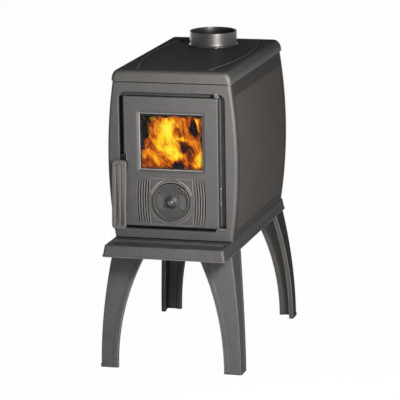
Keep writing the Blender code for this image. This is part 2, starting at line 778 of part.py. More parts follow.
def collar_screws(surface):
    """Make the screws that pull the collar down from inside."""
    for name, place in zip(("front", "rear"), collar_screw_places()):
        head = TOP_UNDERSIDE - FIT
        size = COLLAR_SCREW_RADIUS * 2
        end = COLLAR_SEAT_Z + COLLAR_SCREW_DEPTH - 0.001
        profile = [(size * 0.7, head - size * 0.8), (size, head - size * 0.5), (size, head),
                   (COLLAR_SCREW_RADIUS, head), (COLLAR_SCREW_RADIUS, end)]
        new_object(f"collar_screw_{name}", turned(profile, place, "Z", 12), surface)


# Legs


def leg(name, x_sign, y_sign, surface):
    """Make one splayed L-section leg with its raised border and bolt pad."""

    def section(z, raised):
        x, y = leg_corner(x_sign, y_sign, z)
        share = min(z / LEG_HEIGHT, 1.0)
        width = FOOT_WIDTH + (LEG_TOP_WIDTH - FOOT_WIDTH) * share ** LEG_CURVE_POWER
        depth = FOOT_WIDTH + (LEG_SIDE_TOP_WIDTH - FOOT_WIDTH) * share ** LEG_CURVE_POWER
        face = 0 if raised else LEG_BORDER_RAISE
        edge = face + LEG_EDGE_ROUND
        nose = face + LEG_EDGE_ROUND * 0.3
        lip = LEG_WALL + LEG_LIP
        border = width - LEG_BORDER
        side_border = depth - LEG_BORDER
        points = [(edge, face), (border - 0.001, face), (border, 0), (width, 0), (width, lip), (border, lip),
                  (border - 0.002, LEG_WALL), (LEG_WALL, LEG_WALL), (LEG_WALL, side_border - 0.002),
                  (lip, side_border), (lip, depth), (0, depth), (0, side_border), (face, side_border - 0.001),
                  (face, edge), (nose, nose)]
        return [(x - x_sign * u, y - y_sign * v, z) for u, v in points]

    step = FOOT_BAND + 0.001
    rings = [section(0, True), section(FOOT_BAND, True)]
    rings += [section(z, False) for z in spread(step, LEG_HEIGHT - 0.004, LEG_STEPS)]
    rings.append(section(LEG_HEIGHT - FIT, False))
    result = new_object(f"leg_{name}", loft(rings), surface)
    corner_x, corner_y = leg_corner(x_sign, y_sign, LEG_HEIGHT)
    start = LEG_WALL / 2
    gusset = [(corner_x - x_sign * u, corner_y - y_sign * v)
              for u, v in ((start, start), (PAD_REACH, start), (start, PAD_REACH))]
    boss_x = sorted(corner_x - x_sign * u for u in (PAD_INSET, PAD_INSET + PAD_WIDTH))
    boss_y = sorted(corner_y - y_sign * v for v in (PAD_INSET, PAD_INSET + PAD_WIDTH))
    low = LEG_HEIGHT - PAD_THICKNESS
    fuse(result, prism(gusset, "Z", low, LEG_HEIGHT - FIT * 2))
    fuse(result, box(*boss_x, *boss_y, low + PAD_THICKNESS / 2, LEG_TOP))
    cut(result, rod(leg_bolt_place(x_sign, y_sign), "Z", LEG_BOLT_RADIUS + PIN_FIT, low - FIT, LEG_TOP + FIT))
    return result


def leg_bolt(name, x_sign, y_sign, surface):
    """Make the hex bolt that holds a leg to the tray."""
    place = leg_bolt_place(x_sign, y_sign)
    head = LEG_HEIGHT - PAD_THICKNESS - FIT
    hexagon = rod(place, "Z", LEG_BOLT_HEAD + 0.001, head - 0.0055, head, 6)
    bolt = new_object(f"leg_bolt_{name}", hexagon, surface)
    fuse(bolt, rod(place, "Z", LEG_BOLT_RADIUS, head - 0.001, TRAY_TOP - 0.0005))
    return bolt


def tie_rod(name, x, y, surface):
    """Make one tie rod with its nut under the tray."""
    nut = TRAY_UNDERSIDE - FIT
    top = TOP_UNDERSIDE - ROD_BOSS_HEIGHT / 3 - FIT
    result = new_object(f"tie_rod_{name}",
                        rod((x, y), "Z", ROD_RADIUS, nut - ROD_NUT_HEIGHT - ROD_TAIL, top, 12), surface)
    fuse(result, rod((x, y), "Z", ROD_NUT, nut - ROD_NUT_HEIGHT, nut, 6))
    return result


# Firebox lining


def fluted_outline(start, end, inner, outer, toward):
    """Return a lining plate's plan outline with flutes on its fire side."""
    points = [(outer, start), (outer, end)]
    pitch = (end - start) / FLUTE_COUNT
    for i in reversed(range(FLUTE_COUNT)):
        low = start + i * pitch
        points += [(inner, low + pitch), (inner, low + pitch * 0.62),
                   (inner + toward * FLUTE_DEPTH, low + pitch * 0.48),
                   (inner + toward * FLUTE_DEPTH, low + pitch * 0.14)]
    points.append((inner, start))
    return points


def side_lining(name, side, surface):
    """Make one fluted side lining plate with lugs that rest on the side wall."""
    inner = side * LINING_INNER_HALF
    outer = side * (LINING_INNER_HALF + LINING)
    outline = fluted_outline(LINING_FRONT_Y, LINING_BACK_Y, inner, outer, side)
    result = new_object(name, prism(outline, "Z", LINING_BOTTOM, LINING_TOP), surface)
    lugs = []
    length = LINING_BACK_Y - LINING_FRONT_Y
    for z in (LINING_BOTTOM + LINING_HEIGHT * 0.12, LINING_BOTTOM + LINING_HEIGHT * 0.8):
        reach = min(body_half_width(z), body_half_width(z + LINING_LUG)) - WALL - FIT
        for share in (0.15, 0.85):
            y = LINING_FRONT_Y + length * share
            xs = sorted((outer - side * LINING / 2, side * reach))
            lugs.append(box(*xs, y - LINING_LUG / 2, y + LINING_LUG / 2, z, z + LINING_LUG))
    fuse(result, joined(*lugs))
    return result


def rear_lining(surface):
    """Make the fluted rear lining plate with lugs that rest on the rear wall."""
    front = REAR_LINING_Y - LINING
    half = REAR_LINING_HALF
    outline = [(y, x) for x, y in fluted_outline(-half, half, front, REAR_LINING_Y, 1)]
    result = new_object("rear_lining", prism(outline, "Z", LINING_BOTTOM, LINING_TOP), surface)
    wall = BACK_Y - WALL - FIT
    lugs = []
    for z in (LINING_BOTTOM + LINING_HEIGHT * 0.12, LINING_BOTTOM + LINING_HEIGHT * 0.8):
        for x in (-REAR_LINING_HALF * 0.6, REAR_LINING_HALF * 0.6):
            lugs.append(box(x - LINING_LUG / 2, x + LINING_LUG / 2, REAR_LINING_Y - LINING / 2, wall,
                            z, z + LINING_LUG))
    fuse(result, joined(*lugs))
    return result


def floor_plate(surface):
    """Make the firebox floor plate."""
    outline = rounded_rect(0, (LINING_FRONT_Y + REAR_LINING_Y) / 2, FLOOR_HALF,
                           (REAR_LINING_Y - LINING_FRONT_Y) / 2 + 0.0005, 0.004, 2)
    return new_object("firebox_floor", prism(outline, "Z", BODY_BOTTOM, FLOOR_TOP), surface)


def baffle_plate(surface):
    """Make the baffle that rests on the lining and turns the smoke forward."""
    low = LINING_TOP + FIT
    high = low + BAFFLE_THICKNESS
    front = LINING_FRONT_Y + BAFFLE_SMOKE_GAP
    lip = front + BAFFLE_THICKNESS
    outline = [(front, low), (REAR_LINING_Y, low), (REAR_LINING_Y, high), (lip + BAFFLE_STEP, high),
               (lip, high + BAFFLE_STEP), (front, high + BAFFLE_STEP)]
    half = LINING_INNER_HALF + LINING
    return new_object("baffle_plate", prism(outline, "X", -half, half), surface)


def log_fence(surface):
    """Make the slotted fence that keeps embers off the sill."""
    low = LINING_BOTTOM
    front = LINING_FRONT_Y + FIT
    plate = box(-FENCE_HALF, FENCE_HALF, front, front + FENCE_THICKNESS, low, low + FENCE_HEIGHT)
    result = new_object("log_fence", plate, surface)
    pitch = 2 * FENCE_HALF / FENCE_BARS
    slots = []
    for i in range(FENCE_BARS):
        x = -FENCE_HALF + pitch * (i + 0.5)
        outline = rounded_rect(x, low + FENCE_HEIGHT / 2, pitch * 0.3, FENCE_HEIGHT * 0.28, pitch * 0.2, 2)
        slots.append(prism(outline, "Y", LINING_FRONT_Y - FIT, LINING_FRONT_Y + FENCE_THICKNESS * 2))
    cut(result, joined(*slots))
    return result


# Door


def door_outline(offset, y):
    """Return the door's outline at y, drawn out by an offset."""
    points = rounded_rect(DOOR_X, DOOR_Z, DOOR_WIDTH / 2 + offset, DOOR_HEIGHT / 2 + offset,
                          DOOR_CORNER + offset * 0.5)
    return [along("Y", point, y) for point in points]


def window_outline(offset, bow, y):
    """Return the window's outline at y; its lower edge is bowed down."""
    half = WINDOW_WIDTH / 2 + offset
    top = WINDOW_BOTTOM + WINDOW_HEIGHT + offset * WINDOW_LINTEL_BEVEL / WINDOW_BEVEL
    points = []
    for x in spread(-half, half, WINDOW_STEPS):
        sag = bow * (1 - (x / half) ** 2)
        points.append((DOOR_X + x, WINDOW_BOTTOM - offset - sag))
    points += [(DOOR_X + half, top), (DOOR_X - half, top)]
    return [along("Y", point, y) for point in points]


def rib_groove(side, index):
    """Return one bowed groove beside the air disc."""
    start = RIB_FIRST + index * RIB_PITCH
    near, far = [], []
    for z in spread(-PATTERN_HALF, PATTERN_HALF, RIB_STEPS):
        x = start + RIB_BOW * (1 - (z / PATTERN_HALF) ** 2)
        near.append((DOOR_X + side * (x - RIB_GROOVE / 2), DISC_Z + z))
        far.append((DOOR_X + side * (x + RIB_GROOVE / 2), DISC_Z + z))
    return prism(near + far[::-1], "Y", DOOR_FACE_Y - RIB_DEPTH, DOOR_FACE_Y + RIB_DEPTH)


def pocket(x_sign, z_sign):
    """Return one sunk corner pocket, hollowed by the disc's circle."""
    start = math.degrees(math.acos(POCKET_HALF / POCKET_RADIUS))
    end = math.degrees(math.asin(PATTERN_HALF / POCKET_RADIUS))
    points = [(x, z) for x, z in arc(0, 0, POCKET_RADIUS, start, end, POCKET_STEPS)]
    points.append((POCKET_HALF, PATTERN_HALF))
    outline = [(DOOR_X + x_sign * x, DISC_Z + z_sign * z) for x, z in points]
    return prism(outline, "Y", DOOR_FACE_Y - POCKET_DEPTH, DOOR_FACE_Y + POCKET_DEPTH)


def vent(middle, half_angle, front, back):
    """Return one air passage: a ring sector about the disc's axis."""
    outline = arc(DOOR_X, DISC_Z, VENT_OUTER, middle - half_angle, middle + half_angle, VENT_STEPS)
    outline += arc(DOOR_X, DISC_Z, VENT_INNER, middle + half_angle, middle - half_angle, VENT_STEPS)
    return prism(outline, "Y", front, back)


def clip_places():
    """Return the name, side and height of each glass clip."""
    levels = (("lower", -CLIP_SPREAD / 2), ("upper", CLIP_SPREAD / 2))
    return [(f"{'left' if side < 0 else 'right'}_{level}", side, WINDOW_Z + offset)
            for side in (-1, 1) for level, offset in levels]


def boss_x(side):
    """Return the x of the glass clip bosses on one side of the door."""
    return DOOR_X + side * (DOOR_WIDTH / 2 - DOOR_RIM - BOSS_WIDTH * 0.65)


def deflector_screw_places():
    """Return x and z of the screws that hold the air deflector."""
    return [(DOOR_X + side * DEFLECTOR_SCREW_X, DISC_Z) for side in (-1, 1)]


def door(surface, axis):
    """Make the door casting."""
    rings = [door_outline(0, DOOR_BACK_Y), door_outline(0, DOOR_FACE_Y + DOOR_EDGE_ROUND),
             door_outline(-DOOR_EDGE_ROUND * 0.3, DOOR_FACE_Y + DOOR_EDGE_ROUND * 0.3),
             door_outline(-DOOR_EDGE_ROUND, DOOR_FACE_Y)]
    result = new_object("door", loft(rings), surface, (HINGE_X, HINGE_Y, DOOR_BOTTOM), axis)
    inside = rounded_rect(DOOR_X, DOOR_Z, DOOR_WIDTH / 2 - DOOR_RIM, DOOR_HEIGHT / 2 - DOOR_RIM, 0.004)
    cut(result, prism(inside, "Y", DOOR_INNER_Y, DOOR_BACK_Y + FIT))
    bosses = [box(*sorted((boss_x(side) - side * BOSS_WIDTH / 2, boss_x(side) + side * BOSS_WIDTH)),
                  DOOR_INNER_Y - FIT, BOSS_Y, z - BOSS_WIDTH / 2, z + BOSS_WIDTH / 2)
              for name, side, z in clip_places()]
    bosses += [box(x - BOSS_WIDTH / 2, x + BOSS_WIDTH / 2, DOOR_INNER_Y - FIT, BOSS_Y,
                   z - BOSS_WIDTH / 2, z + BOSS_WIDTH / 2) for x, z in deflector_screw_places()]
    stud_z = DOOR_BOTTOM + STUD_ABOVE_SILL
    stud = rod((DOOR_RIGHT + STUD_RADIUS / 3, DOOR_BACK_Y - STUD_RADIUS * 1.3), "Z", STUD_RADIUS, stud_z,
               stud_z + STUD_HEIGHT, 12)
    fuse(result, joined(*bosses, stud))
    bevel_back = DOOR_INNER_Y - WINDOW_EDGE
    slope = WINDOW_BEVEL / (bevel_back - DOOR_FACE_Y)
    window = loft([window_outline(WINDOW_BEVEL + slope * 0.001, WINDOW_SILL_BOW, DOOR_FACE_Y - 0.001),
                   window_outline(0, 0, bevel_back), window_outline(0, 0, DOOR_INNER_Y + 0.001)])
    cut(result, window)
    seal_x = DOOR_WIDTH / 2 - SEAL_INSET
    seal_z = DOOR_HEIGHT / 2 - SEAL_INSET
    half = SEAL_WIDTH / 2 + FIT
    groove = band(rounded_rect(DOOR_X, DOOR_Z, seal_x + half, seal_z + half, SEAL_ROUND + half),
                  rounded_rect(DOOR_X, DOOR_Z, seal_x - half, seal_z - half, SEAL_ROUND - half),
                  "Y", DOOR_BACK_Y - SEAL_GROOVE, DOOR_BACK_Y + FIT)
    grooves = [rib_groove(side, i) for side in (-1, 1) for i in range(RIB_COUNT)]
    pockets = [pocket(x, z) for x in (-1, 1) for z in (-1, 1)]
    vents = [vent(middle, DOOR_VENT_HALF_ANGLE, DOOR_FACE_Y - FIT, DOOR_INNER_Y + FIT)
             for middle in (90, 270)]
    screws = [rod((boss_x(side), z), "Y", SCREW_RADIUS + PIN_FIT, DOOR_INNER_Y + 0.001, BOSS_Y + FIT, 12)
              for name, side, z in clip_places()]
    screws += [rod(place, "Y", SCREW_RADIUS + PIN_FIT, DOOR_INNER_Y + 0.001, BOSS_Y + FIT, 12)
               for place in deflector_screw_places()]
    spindle = rod((DOOR_X, DISC_Z), "Y", SPINDLE_RADIUS + PIN_FIT, DOOR_FACE_Y - FIT, DOOR_INNER_Y + FIT)
    pins = [rod((HINGE_X, HINGE_Y), "Z", HINGE_PIN + PIN_FIT, low, high)
            for low, high in ((DOOR_BOTTOM - FIT, DOOR_BOTTOM + PIN_DEPTH),
                              (DOOR_TOP - PIN_DEPTH, DOOR_TOP + FIT))]
    cut(result, joined(groove, *grooves, *pockets, *vents, *screws, spindle, *pins))
    notch = box(DOOR_LEFT - 0.001, NOTCH_X, DOOR_FACE_Y - 0.001, DOOR_BACK_Y + 0.001,
                PIVOT_Z - NOTCH_BELOW, PIVOT_Z + NOTCH_ABOVE)
    cut(result, notch)
    cut(result, rod((PIVOT_Y, PIVOT_Z), "X", PIVOT_RADIUS + PIN_FIT, NOTCH_X - FIT,
                    DOOR_LEFT + DOOR_RIM - 0.002))
    return result


def door_seal(surface, axis):
    """Make the seal rope that lies in the door's groove and meets the front wall."""
    front = DOOR_BACK_Y - SEAL_GROOVE + FIT
    back = LAND_Y - FIT
    half = SEAL_WIDTH / 2
    corner = 0.002
    middle_x = DOOR_WIDTH / 2 - SEAL_INSET
    middle_z = DOOR_HEIGHT / 2 - SEAL_INSET
    section = [(-half, front + corner), (-half + corner, front), (half - corner, front),
               (half, front + corner), (half, back - corner), (half - corner, back),
               (corner - half, back), (-half, back - corner)]
    rings = [[along("Y", point, y) for point in rounded_rect(DOOR_X, DOOR_Z, middle_x + offset,
                                                            middle_z + offset, SEAL_ROUND + offset)]
             for offset, y in section]
    return new_object("door_seal", loft(rings, wrap=True), surface, (HINGE_X, HINGE_Y, DOOR_BOTTOM), axis)


def glazing(glass, rope, steel, axis):
    """Make the glass, its seal, and the clips and screws that hold it."""
    origin = (HINGE_X, HINGE_Y, WINDOW_BOTTOM)
    half_width = WINDOW_WIDTH / 2 + GLASS_LAP
    half_height = WINDOW_HEIGHT / 2 + GLASS_LAP
    outer = rounded_rect(DOOR_X, WINDOW_Z, half_width, half_height, 0.002, 2)
    inner = rounded_rect(DOOR_X, WINDOW_Z, half_width - GLASS_SEAL_WIDTH + 0.004,
                         half_height - GLASS_SEAL_WIDTH + 0.004, 0.001, 2)
    seal = band(outer, inner, "Y", GLASS_SEAL_Y, GLASS_SEAL_Y + GLASS_SEAL)
    new_object("glass_seal", seal, rope, origin, axis)
    new_object("door_glass", prism(outer, "Y", GLASS_Y, GLASS_Y + GLASS_THICKNESS), glass, origin, axis)
    for name, side, z in clip_places():
        edge = DOOR_X + side * (half_width - CLIP_LAP)
        far = boss_x(side) + side * BOSS_WIDTH / 2
        xs = sorted((edge, far))
        plate = box(*xs, CLIP_Y, CLIP_Y + CLIP_THICKNESS, z - CLIP_WIDTH / 2, z + CLIP_WIDTH / 2)
        clip = new_object(f"glass_clip_{name}", plate, steel, origin, axis)
        cut(clip, rod((boss_x(side), z), "Y", SCREW_RADIUS + PIN_FIT, CLIP_Y - FIT,
                      CLIP_Y + CLIP_THICKNESS + FIT, 12))
        screw(f"glass_screw_{name}", boss_x(side), z, SCREW_Y, DOOR_INNER_Y + 0.0015, 1, steel, origin,
              axis)


def screw(name, x, z, seat, tip, outward, surface, origin=(0, 0, 0), parent=None):
    """Make a round-headed screw along Y, from its seat to its tip."""
    head = seat + outward * SCREW_HEAD_HEIGHT
    profile = [(SCREW_RADIUS, tip), (SCREW_RADIUS, seat), (SCREW_HEAD, seat),
               (SCREW_HEAD, seat + outward * SCREW_HEAD_HEIGHT * 0.4), (SCREW_HEAD * 0.7, head)]
    return new_object(name, turned(profile, (x, z), "Y", 12), surface, origin, parent)


def air_deflector(iron, steel, axis):
    """Make the plate inside the door that spreads the incoming air."""
    origin = (HINGE_X, HINGE_Y, DISC_Z)
    outline = rounded_rect(DOOR_X, DISC_Z + DEFLECTOR_RISE, DEFLECTOR_HALF, DEFLECTOR_HALF_HEIGHT,
                           DEFLECTOR_ROUND, 2)
    shape = prism(outline, "Y", CLIP_Y, CLIP_Y + CLIP_THICKNESS)
    plate = new_object("air_deflector", shape, iron, origin, axis)
    holes = [rod(place, "Y", SCREW_RADIUS + PIN_FIT, CLIP_Y - FIT, SCREW_Y, 12)
             for place in deflector_screw_places()]
    holes.append(rod((DOOR_X, DISC_Z), "Y", DEFLECTOR_HOLE, CLIP_Y - FIT, SCREW_Y, 16))
    cut(plate, joined(*holes))
    for name, (x, z) in zip(("left", "right"), deflector_screw_places()):
        screw(f"deflector_screw_{name}", x, z, SCREW_Y, DOOR_INNER_Y + 0.0015, 1, steel, origin, axis)


def air_disc(surface, axis):
    """Make the turning air disc: ring, two open and two closed quarters, hub and tab."""
    ring_y = DISC_BACK_Y - DISC_THICKNESS
    bore = SPINDLE_RADIUS + PIN_FIT
    inner = DISC_RADIUS - DISC_RING
    profile = [(bore, DISC_BACK_Y), (DISC_RADIUS, DISC_BACK_Y), (DISC_RADIUS, ring_y + 0.001),
               (DISC_RADIUS - 0.001, ring_y), (inner + 0.001, ring_y), (inner, DISC_WEB_Y),
               (HUB_RADIUS, DISC_WEB_Y), (HUB_NOSE, HUB_NOSE_Y), (bore, HUB_NOSE_Y)]
    origin = (DOOR_X, DISC_BACK_Y, DISC_Z)
    result = new_object("air_disc", turned(profile, (DOOR_X, DISC_Z), "Y", DISC_SIDES, bored=True), surface,
                        origin, axis)
    turn = math.radians(45)
    reach = DISC_RADIUS - TAB_LENGTH / 2
    tab = box(-TAB_LENGTH / 2, TAB_LENGTH / 2, ring_y - TAB_RISE, DISC_BACK_Y - 0.0015,
              -TAB_WIDTH / 2, TAB_WIDTH / 2)
    bmesh.ops.rotate(tab, verts=tab.verts, cent=(0, 0, 0), matrix=Matrix.Rotation(-turn, 3, "Y"))
    bmesh.ops.translate(tab, verts=tab.verts, vec=(DOOR_X + reach * math.cos(turn), 0,
                                                   DISC_Z + reach * math.sin(turn)))
    fuse(result, tab)
    vents = [vent(middle, VENT_HALF_ANGLE, HUB_NOSE_Y, DISC_BACK_Y + 0.001) for middle in (0, 180)]
    cut(result, joined(*vents))
    return result


def disc_spindle(steel, axis):
    """Make the air disc's spindle bolt, its spring washer and its nut."""
    origin = (HINGE_X, HINGE_Y, DISC_Z)
    head = HUB_NOSE_Y - FIT
    end = BOSS_Y + 0.003
    profile = [(SPINDLE_HEAD * 0.45, head - SPINDLE_HEAD_HEIGHT),
               (SPINDLE_HEAD * 0.85, head - SPINDLE_HEAD_HEIGHT),
               (SPINDLE_HEAD, head - SPINDLE_HEAD_HEIGHT * 0.5), (SPINDLE_HEAD, head),
               (SPINDLE_RADIUS, head), (SPINDLE_RADIUS, end)]
    new_object("disc_spindle", turned(profile, (DOOR_X, DISC_Z), "Y", 20), steel, origin, axis)
    bore = SPINDLE_RADIUS + PIN_FIT
    washer = DOOR_INNER_Y + FIT
    loop = [(bore, washer), (0.0068, washer), (0.0068, washer + 0.0006), (bore, washer + 0.0012)]
    new_object("disc_washer", turned(loop, (DOOR_X, DISC_Z), "Y", 16, bored=True), steel, origin, axis)
    nut = washer + 0.0012 + FIT
    loop = [(bore, nut), (0.0058, nut), (0.0058, nut + 0.004), (bore, nut + 0.004)]
    hexagon = turned([(0.0058, nut), (0.0058, nut + 0.004)], (DOOR_X, DISC_Z), "Y", 6)
    result = new_object("disc_nut", hexagon, steel, origin, axis)
    cut(result, rod((DOOR_X, DISC_Z), "Y", bore, nut - FIT, nut + 0.004 + FIT))


def hinge_pins(steel):
    """Make the two loose hinge pins."""
    for name, low, high in (("lower", DOOR_BOTTOM - LUG_GAP - PIN_BITE, DOOR_BOTTOM + PIN_DEPTH - FIT),
                            ("upper", DOOR_TOP - PIN_DEPTH + FIT, DOOR_TOP + LUG_GAP + PIN_BITE)):
        profile = [(HINGE_PIN - 0.0006, low), (HINGE_PIN, low + 0.0006), (HINGE_PIN, high - 0.0006),
                   (HINGE_PIN - 0.0006, high)]
        new_object(f"hinge_pin_{name}", turned(profile, (HINGE_X, HINGE_Y), "Z", 16), steel)


# Latch


def handle_outline(offset, y):
    """Return the handle's outline at y, before it leans out."""
    top = PIVOT_Z + HANDLE_TOP_RISE
    points = rounded_rect(HANDLE_X, top - HANDLE_LENGTH / 2, HANDLE_WIDTH / 2 + offset,
                          HANDLE_LENGTH / 2 + offset, HANDLE_ROUND + offset, 4)
    return [along("Y", point, y) for point in points]


def lean(bm):
    """Lean a handle shape out towards its lower end."""
    top = Vector((0, PIVOT_Y - HANDLE_STAND, PIVOT_Z + HANDLE_TOP_RISE))
    turn = Matrix.Rotation(-math.atan(HANDLE_LEAN / HANDLE_LENGTH), 3, "X")
    bmesh.ops.rotate(bm, verts=bm.verts, cent=top, matrix=turn)
    return bm


def door_handle(surface, axis):
    """Make the latch handle: grooved grip, pivot boss and hooked finger."""
    back = PIVOT_Y - HANDLE_STAND
    front = back - HANDLE_THICKNESS
    rings = [handle_outline(-HANDLE_EDGE * 0.6, back), handle_outline(0, back - HANDLE_EDGE),
             handle_outline(0, front + HANDLE_EDGE), handle_outline(-HANDLE_EDGE, front)]
    result = new_object("door_handle", lean(loft(rings)), surface, (HANDLE_X, PIVOT_Y, PIVOT_Z), axis)
    depth = HANDLE_STAND + HANDLE_THICKNESS * 0.4
    boss = TONGUE_BOSS
    shape = [(-depth, boss), (0, boss), (boss * 0.77, boss * 0.64), (boss, 0), (boss, -0.0048),
             (FINGER_FRONT, -0.0048), (FINGER_FRONT, FINGER_TOP),
             (FINGER_FRONT + FINGER_THICKNESS, FINGER_TOP), (FINGER_FRONT + FINGER_THICKNESS, -0.0075),
             (FINGER_FRONT, -0.011), (0, -0.011), (-0.008, -0.016), (-depth - 0.0015, -0.028)]
    tongue = prism([(PIVOT_Y + y, PIVOT_Z + z) for y, z in shape], "X", TONGUE_LEFT, TONGUE_RIGHT)
    fuse(result, tongue)
    grooves = []
    top = PIVOT_Z + HANDLE_TOP_RISE
    for side in (-1, 1):
        outline = rounded_rect(HANDLE_X + side * GROOVE_SPACING / 2, top - HANDLE_LENGTH / 2,
                               GROOVE_WIDTH / 2, HANDLE_LENGTH / 2 - GROOVE_END,
                               GROOVE_WIDTH / 2 - 0.0001, 3)
        grooves.append(lean(prism(outline, "Y", front - 0.001, front + GROOVE_DEPTH)))
    hole = rod((PIVOT_Y, PIVOT_Z), "X", PIVOT_RADIUS + PIN_FIT, TONGUE_LEFT - FIT, TONGUE_RIGHT + FIT)
    cut(result, joined(*grooves, hole))
    return result


def handle_pivot(steel, axis):
    """Make the shoulder bolt that the handle turns on."""
    head = TONGUE_LEFT - FIT
    profile = [(PIVOT_HEAD - 0.0008, head - PIVOT_HEAD_HEIGHT),
               (PIVOT_HEAD, head - PIVOT_HEAD_HEIGHT + 0.0008), (PIVOT_HEAD, head),
               (PIVOT_RADIUS, head), (PIVOT_RADIUS, DOOR_LEFT + DOOR_RIM - 0.0025)]
    new_object("handle_pivot_bolt", turned(profile, (PIVOT_Y, PIVOT_Z), "X", 16), steel,
               (HINGE_X, HINGE_Y, PIVOT_Z), axis)


def main():
    """Build every piece of the stove."""
    clear_scene()
    iron = material("cast_iron", (0.085, 0.080, 0.076), 0.62, 0.35)
    lining = material("lining_iron", (0.060, 0.055, 0.050), 0.80, 0.20)
    steel = material("steel", (0.35, 0.34, 0.33), 0.40, 0.90)
    rope = material("seal_rope", (0.30, 0.29, 0.27), 0.95, 0.0)
    glass = material("glass", (0.75, 0.75, 0.73), 0.05, 0.0, 1.0)

    tray(iron)
    for name, x_sign, y_sign in leg_places():
        leg(name, x_sign, y_sign, iron)
        leg_bolt(name, x_sign, y_sign, steel)
    front_plate(iron)
    side_plate("side_plate_left", -1, iron)
    side_plate("side_plate_right", 1, iron)
    back_plate(iron)
    top_plate(iron)
    flue_collar(iron)
    collar_screws(steel)
    for name, x, y in rod_places():
        tie_rod(name, x, y, steel)

    floor_plate(lining)
    side_lining("side_lining_left", -1, lining)
    side_lining("side_lining_right", 1, lining)
    rear_lining(lining)
    baffle_plate(lining)
    log_fence(lining)

    hinge_pins(steel)
    door_axis = axis_empty("door_axis", (HINGE_X, HINGE_Y, DOOR_BOTTOM))
    handle_axis = axis_empty("handle_axis", (HANDLE_X, PIVOT_Y, PIVOT_Z), door_axis)
    disc_axis = axis_empty("disc_axis", (DOOR_X, DISC_BACK_Y, DISC_Z), door_axis)
    door(iron, door_axis)
    door_seal(rope, door_axis)
    glazing(glass, rope, steel, door_axis)
    air_deflector(iron, steel, door_axis)
    disc_spindle(steel, door_axis)
    handle_pivot(steel, door_axis)
    air_disc(iron, disc_axis)
    door_handle(iron, handle_axis)


main()
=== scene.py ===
"""Looks of a small free-standing cast iron stove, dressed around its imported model."""
import logging
import math
import random
from dataclasses import dataclass, field, replace
from enum import Enum
from typing import Any, Iterable, Sequence

import bmesh
import bpy
from mathutils import Matrix, Vector


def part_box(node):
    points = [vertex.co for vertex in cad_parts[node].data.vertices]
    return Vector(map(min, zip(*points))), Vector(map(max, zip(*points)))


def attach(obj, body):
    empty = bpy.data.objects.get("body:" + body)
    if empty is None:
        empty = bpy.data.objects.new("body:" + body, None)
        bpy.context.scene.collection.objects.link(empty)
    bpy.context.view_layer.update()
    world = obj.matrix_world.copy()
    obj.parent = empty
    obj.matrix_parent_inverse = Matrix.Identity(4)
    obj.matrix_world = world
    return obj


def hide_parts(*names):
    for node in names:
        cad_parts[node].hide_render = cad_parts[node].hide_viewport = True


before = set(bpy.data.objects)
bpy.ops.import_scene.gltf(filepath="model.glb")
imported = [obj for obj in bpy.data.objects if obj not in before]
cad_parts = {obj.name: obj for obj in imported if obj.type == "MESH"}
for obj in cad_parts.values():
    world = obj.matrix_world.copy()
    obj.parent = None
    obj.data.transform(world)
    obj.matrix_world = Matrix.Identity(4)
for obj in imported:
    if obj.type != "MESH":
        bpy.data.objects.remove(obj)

LOG = logging.getLogger("stove")
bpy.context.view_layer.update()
EDGE_STEPS = 2
Flat = tuple[float, float]
Point = tuple[float, float, float]
Color = tuple[float, float, float]
Ring = list[Point]


class Axis(Enum):
    """A world axis that a flat outline is placed along."""

    X = "X"
    Y = "Y"
    Z = "Z"

    def place(self, point: Flat, level: float) -> Point:
        """Return a flat point as a world point at a level along this axis."""
        a, b = point
        return {"X": (level, a, b), "Y": (a, level, b), "Z": (a, b, level)}[self.value]

    def ring(self, points: Iterable[Flat], level: float) -> Ring:
        """Return flat points as a ring at a level along this axis."""
        return [self.place(point, level) for point in points]


class Body(Enum):
    """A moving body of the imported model."""

    STOVE = "stove"
    DOOR = "door"
    HANDLE = "latch_handle"
    DISC = "air_register"


class Slot(Enum):
    """A material slot of the record."""

    IRON = "cast_iron"
    LINING = "lining_iron"
    STEEL = "steel"
    ROPE = "seal_rope"
    GLASS = "glass"


# Outlines


def spread(low: float, high: float, count: int) -> list[float]:
    """Return count + 1 even steps from low to high."""
    return [low + (high - low) * i / count for i in range(count + 1)]


def on_circle(center: Flat, radius: float, degrees: float) -> Flat:
    """Return a point on a circle."""
    angle = math.radians(degrees)
    return center[0] + radius * math.cos(angle), center[1] + radius * math.sin(angle)


def arc(center: Flat, radius: float, start: float, end: float, count: int) -> list[Flat]:
    """Return points on an arc.

    Args:
        center: Middle of the arc.
        radius: Radius in metres.
        start: First angle in degrees.
        end: Last angle in degrees.
        count: Number of steps.

    Returns:
        count + 1 points.
    """
    return [on_circle(center, radius, degrees) for degrees in spread(start, end, count)]


def rounded_rect(center: Flat, half: Flat, radius: float, steps: int = 6) -> list[Flat]:
    """Return a rounded rectangle, counter-clockwise.

    Args:
        center: Middle of the rectangle.
        half: Half width and half height.
        radius: Corner radius.
        steps: Steps in each corner.

    Returns:
        Outline points.
    """
    points: list[Flat] = []
    for i, (sx, sy) in enumerate(((1, 1), (-1, 1), (-1, -1), (1, -1))):
        corner = (center[0] + sx * (half[0] - radius), center[1] + sy * (half[1] - radius))
        points += arc(corner, radius, 90 * i, 90 * i + 90, steps)
    return points


def grown(half: Flat, offset: float) -> Flat:
    """Return a half width and height, both with an offset added."""
    return half[0] + offset, half[1] + offset


def quarter_round(radius: float, steps: int) -> list[Flat]:
    """Return (set back, drawn in) pairs of a rounded edge, from the side to the face."""
    return [(radius * (1 - math.sin(a)), radius * (1 - math.cos(a))) for a in spread(0, math.pi / 2, steps)]


# Solids


def add_object(name: str, data: Any) -> bpy.types.Object:
    """Return a new object of the scene that carries a mesh, a lamp or a camera."""
    result = bpy.data.objects.new(name, data)
    bpy.context.scene.collection.objects.link(result)
    return result


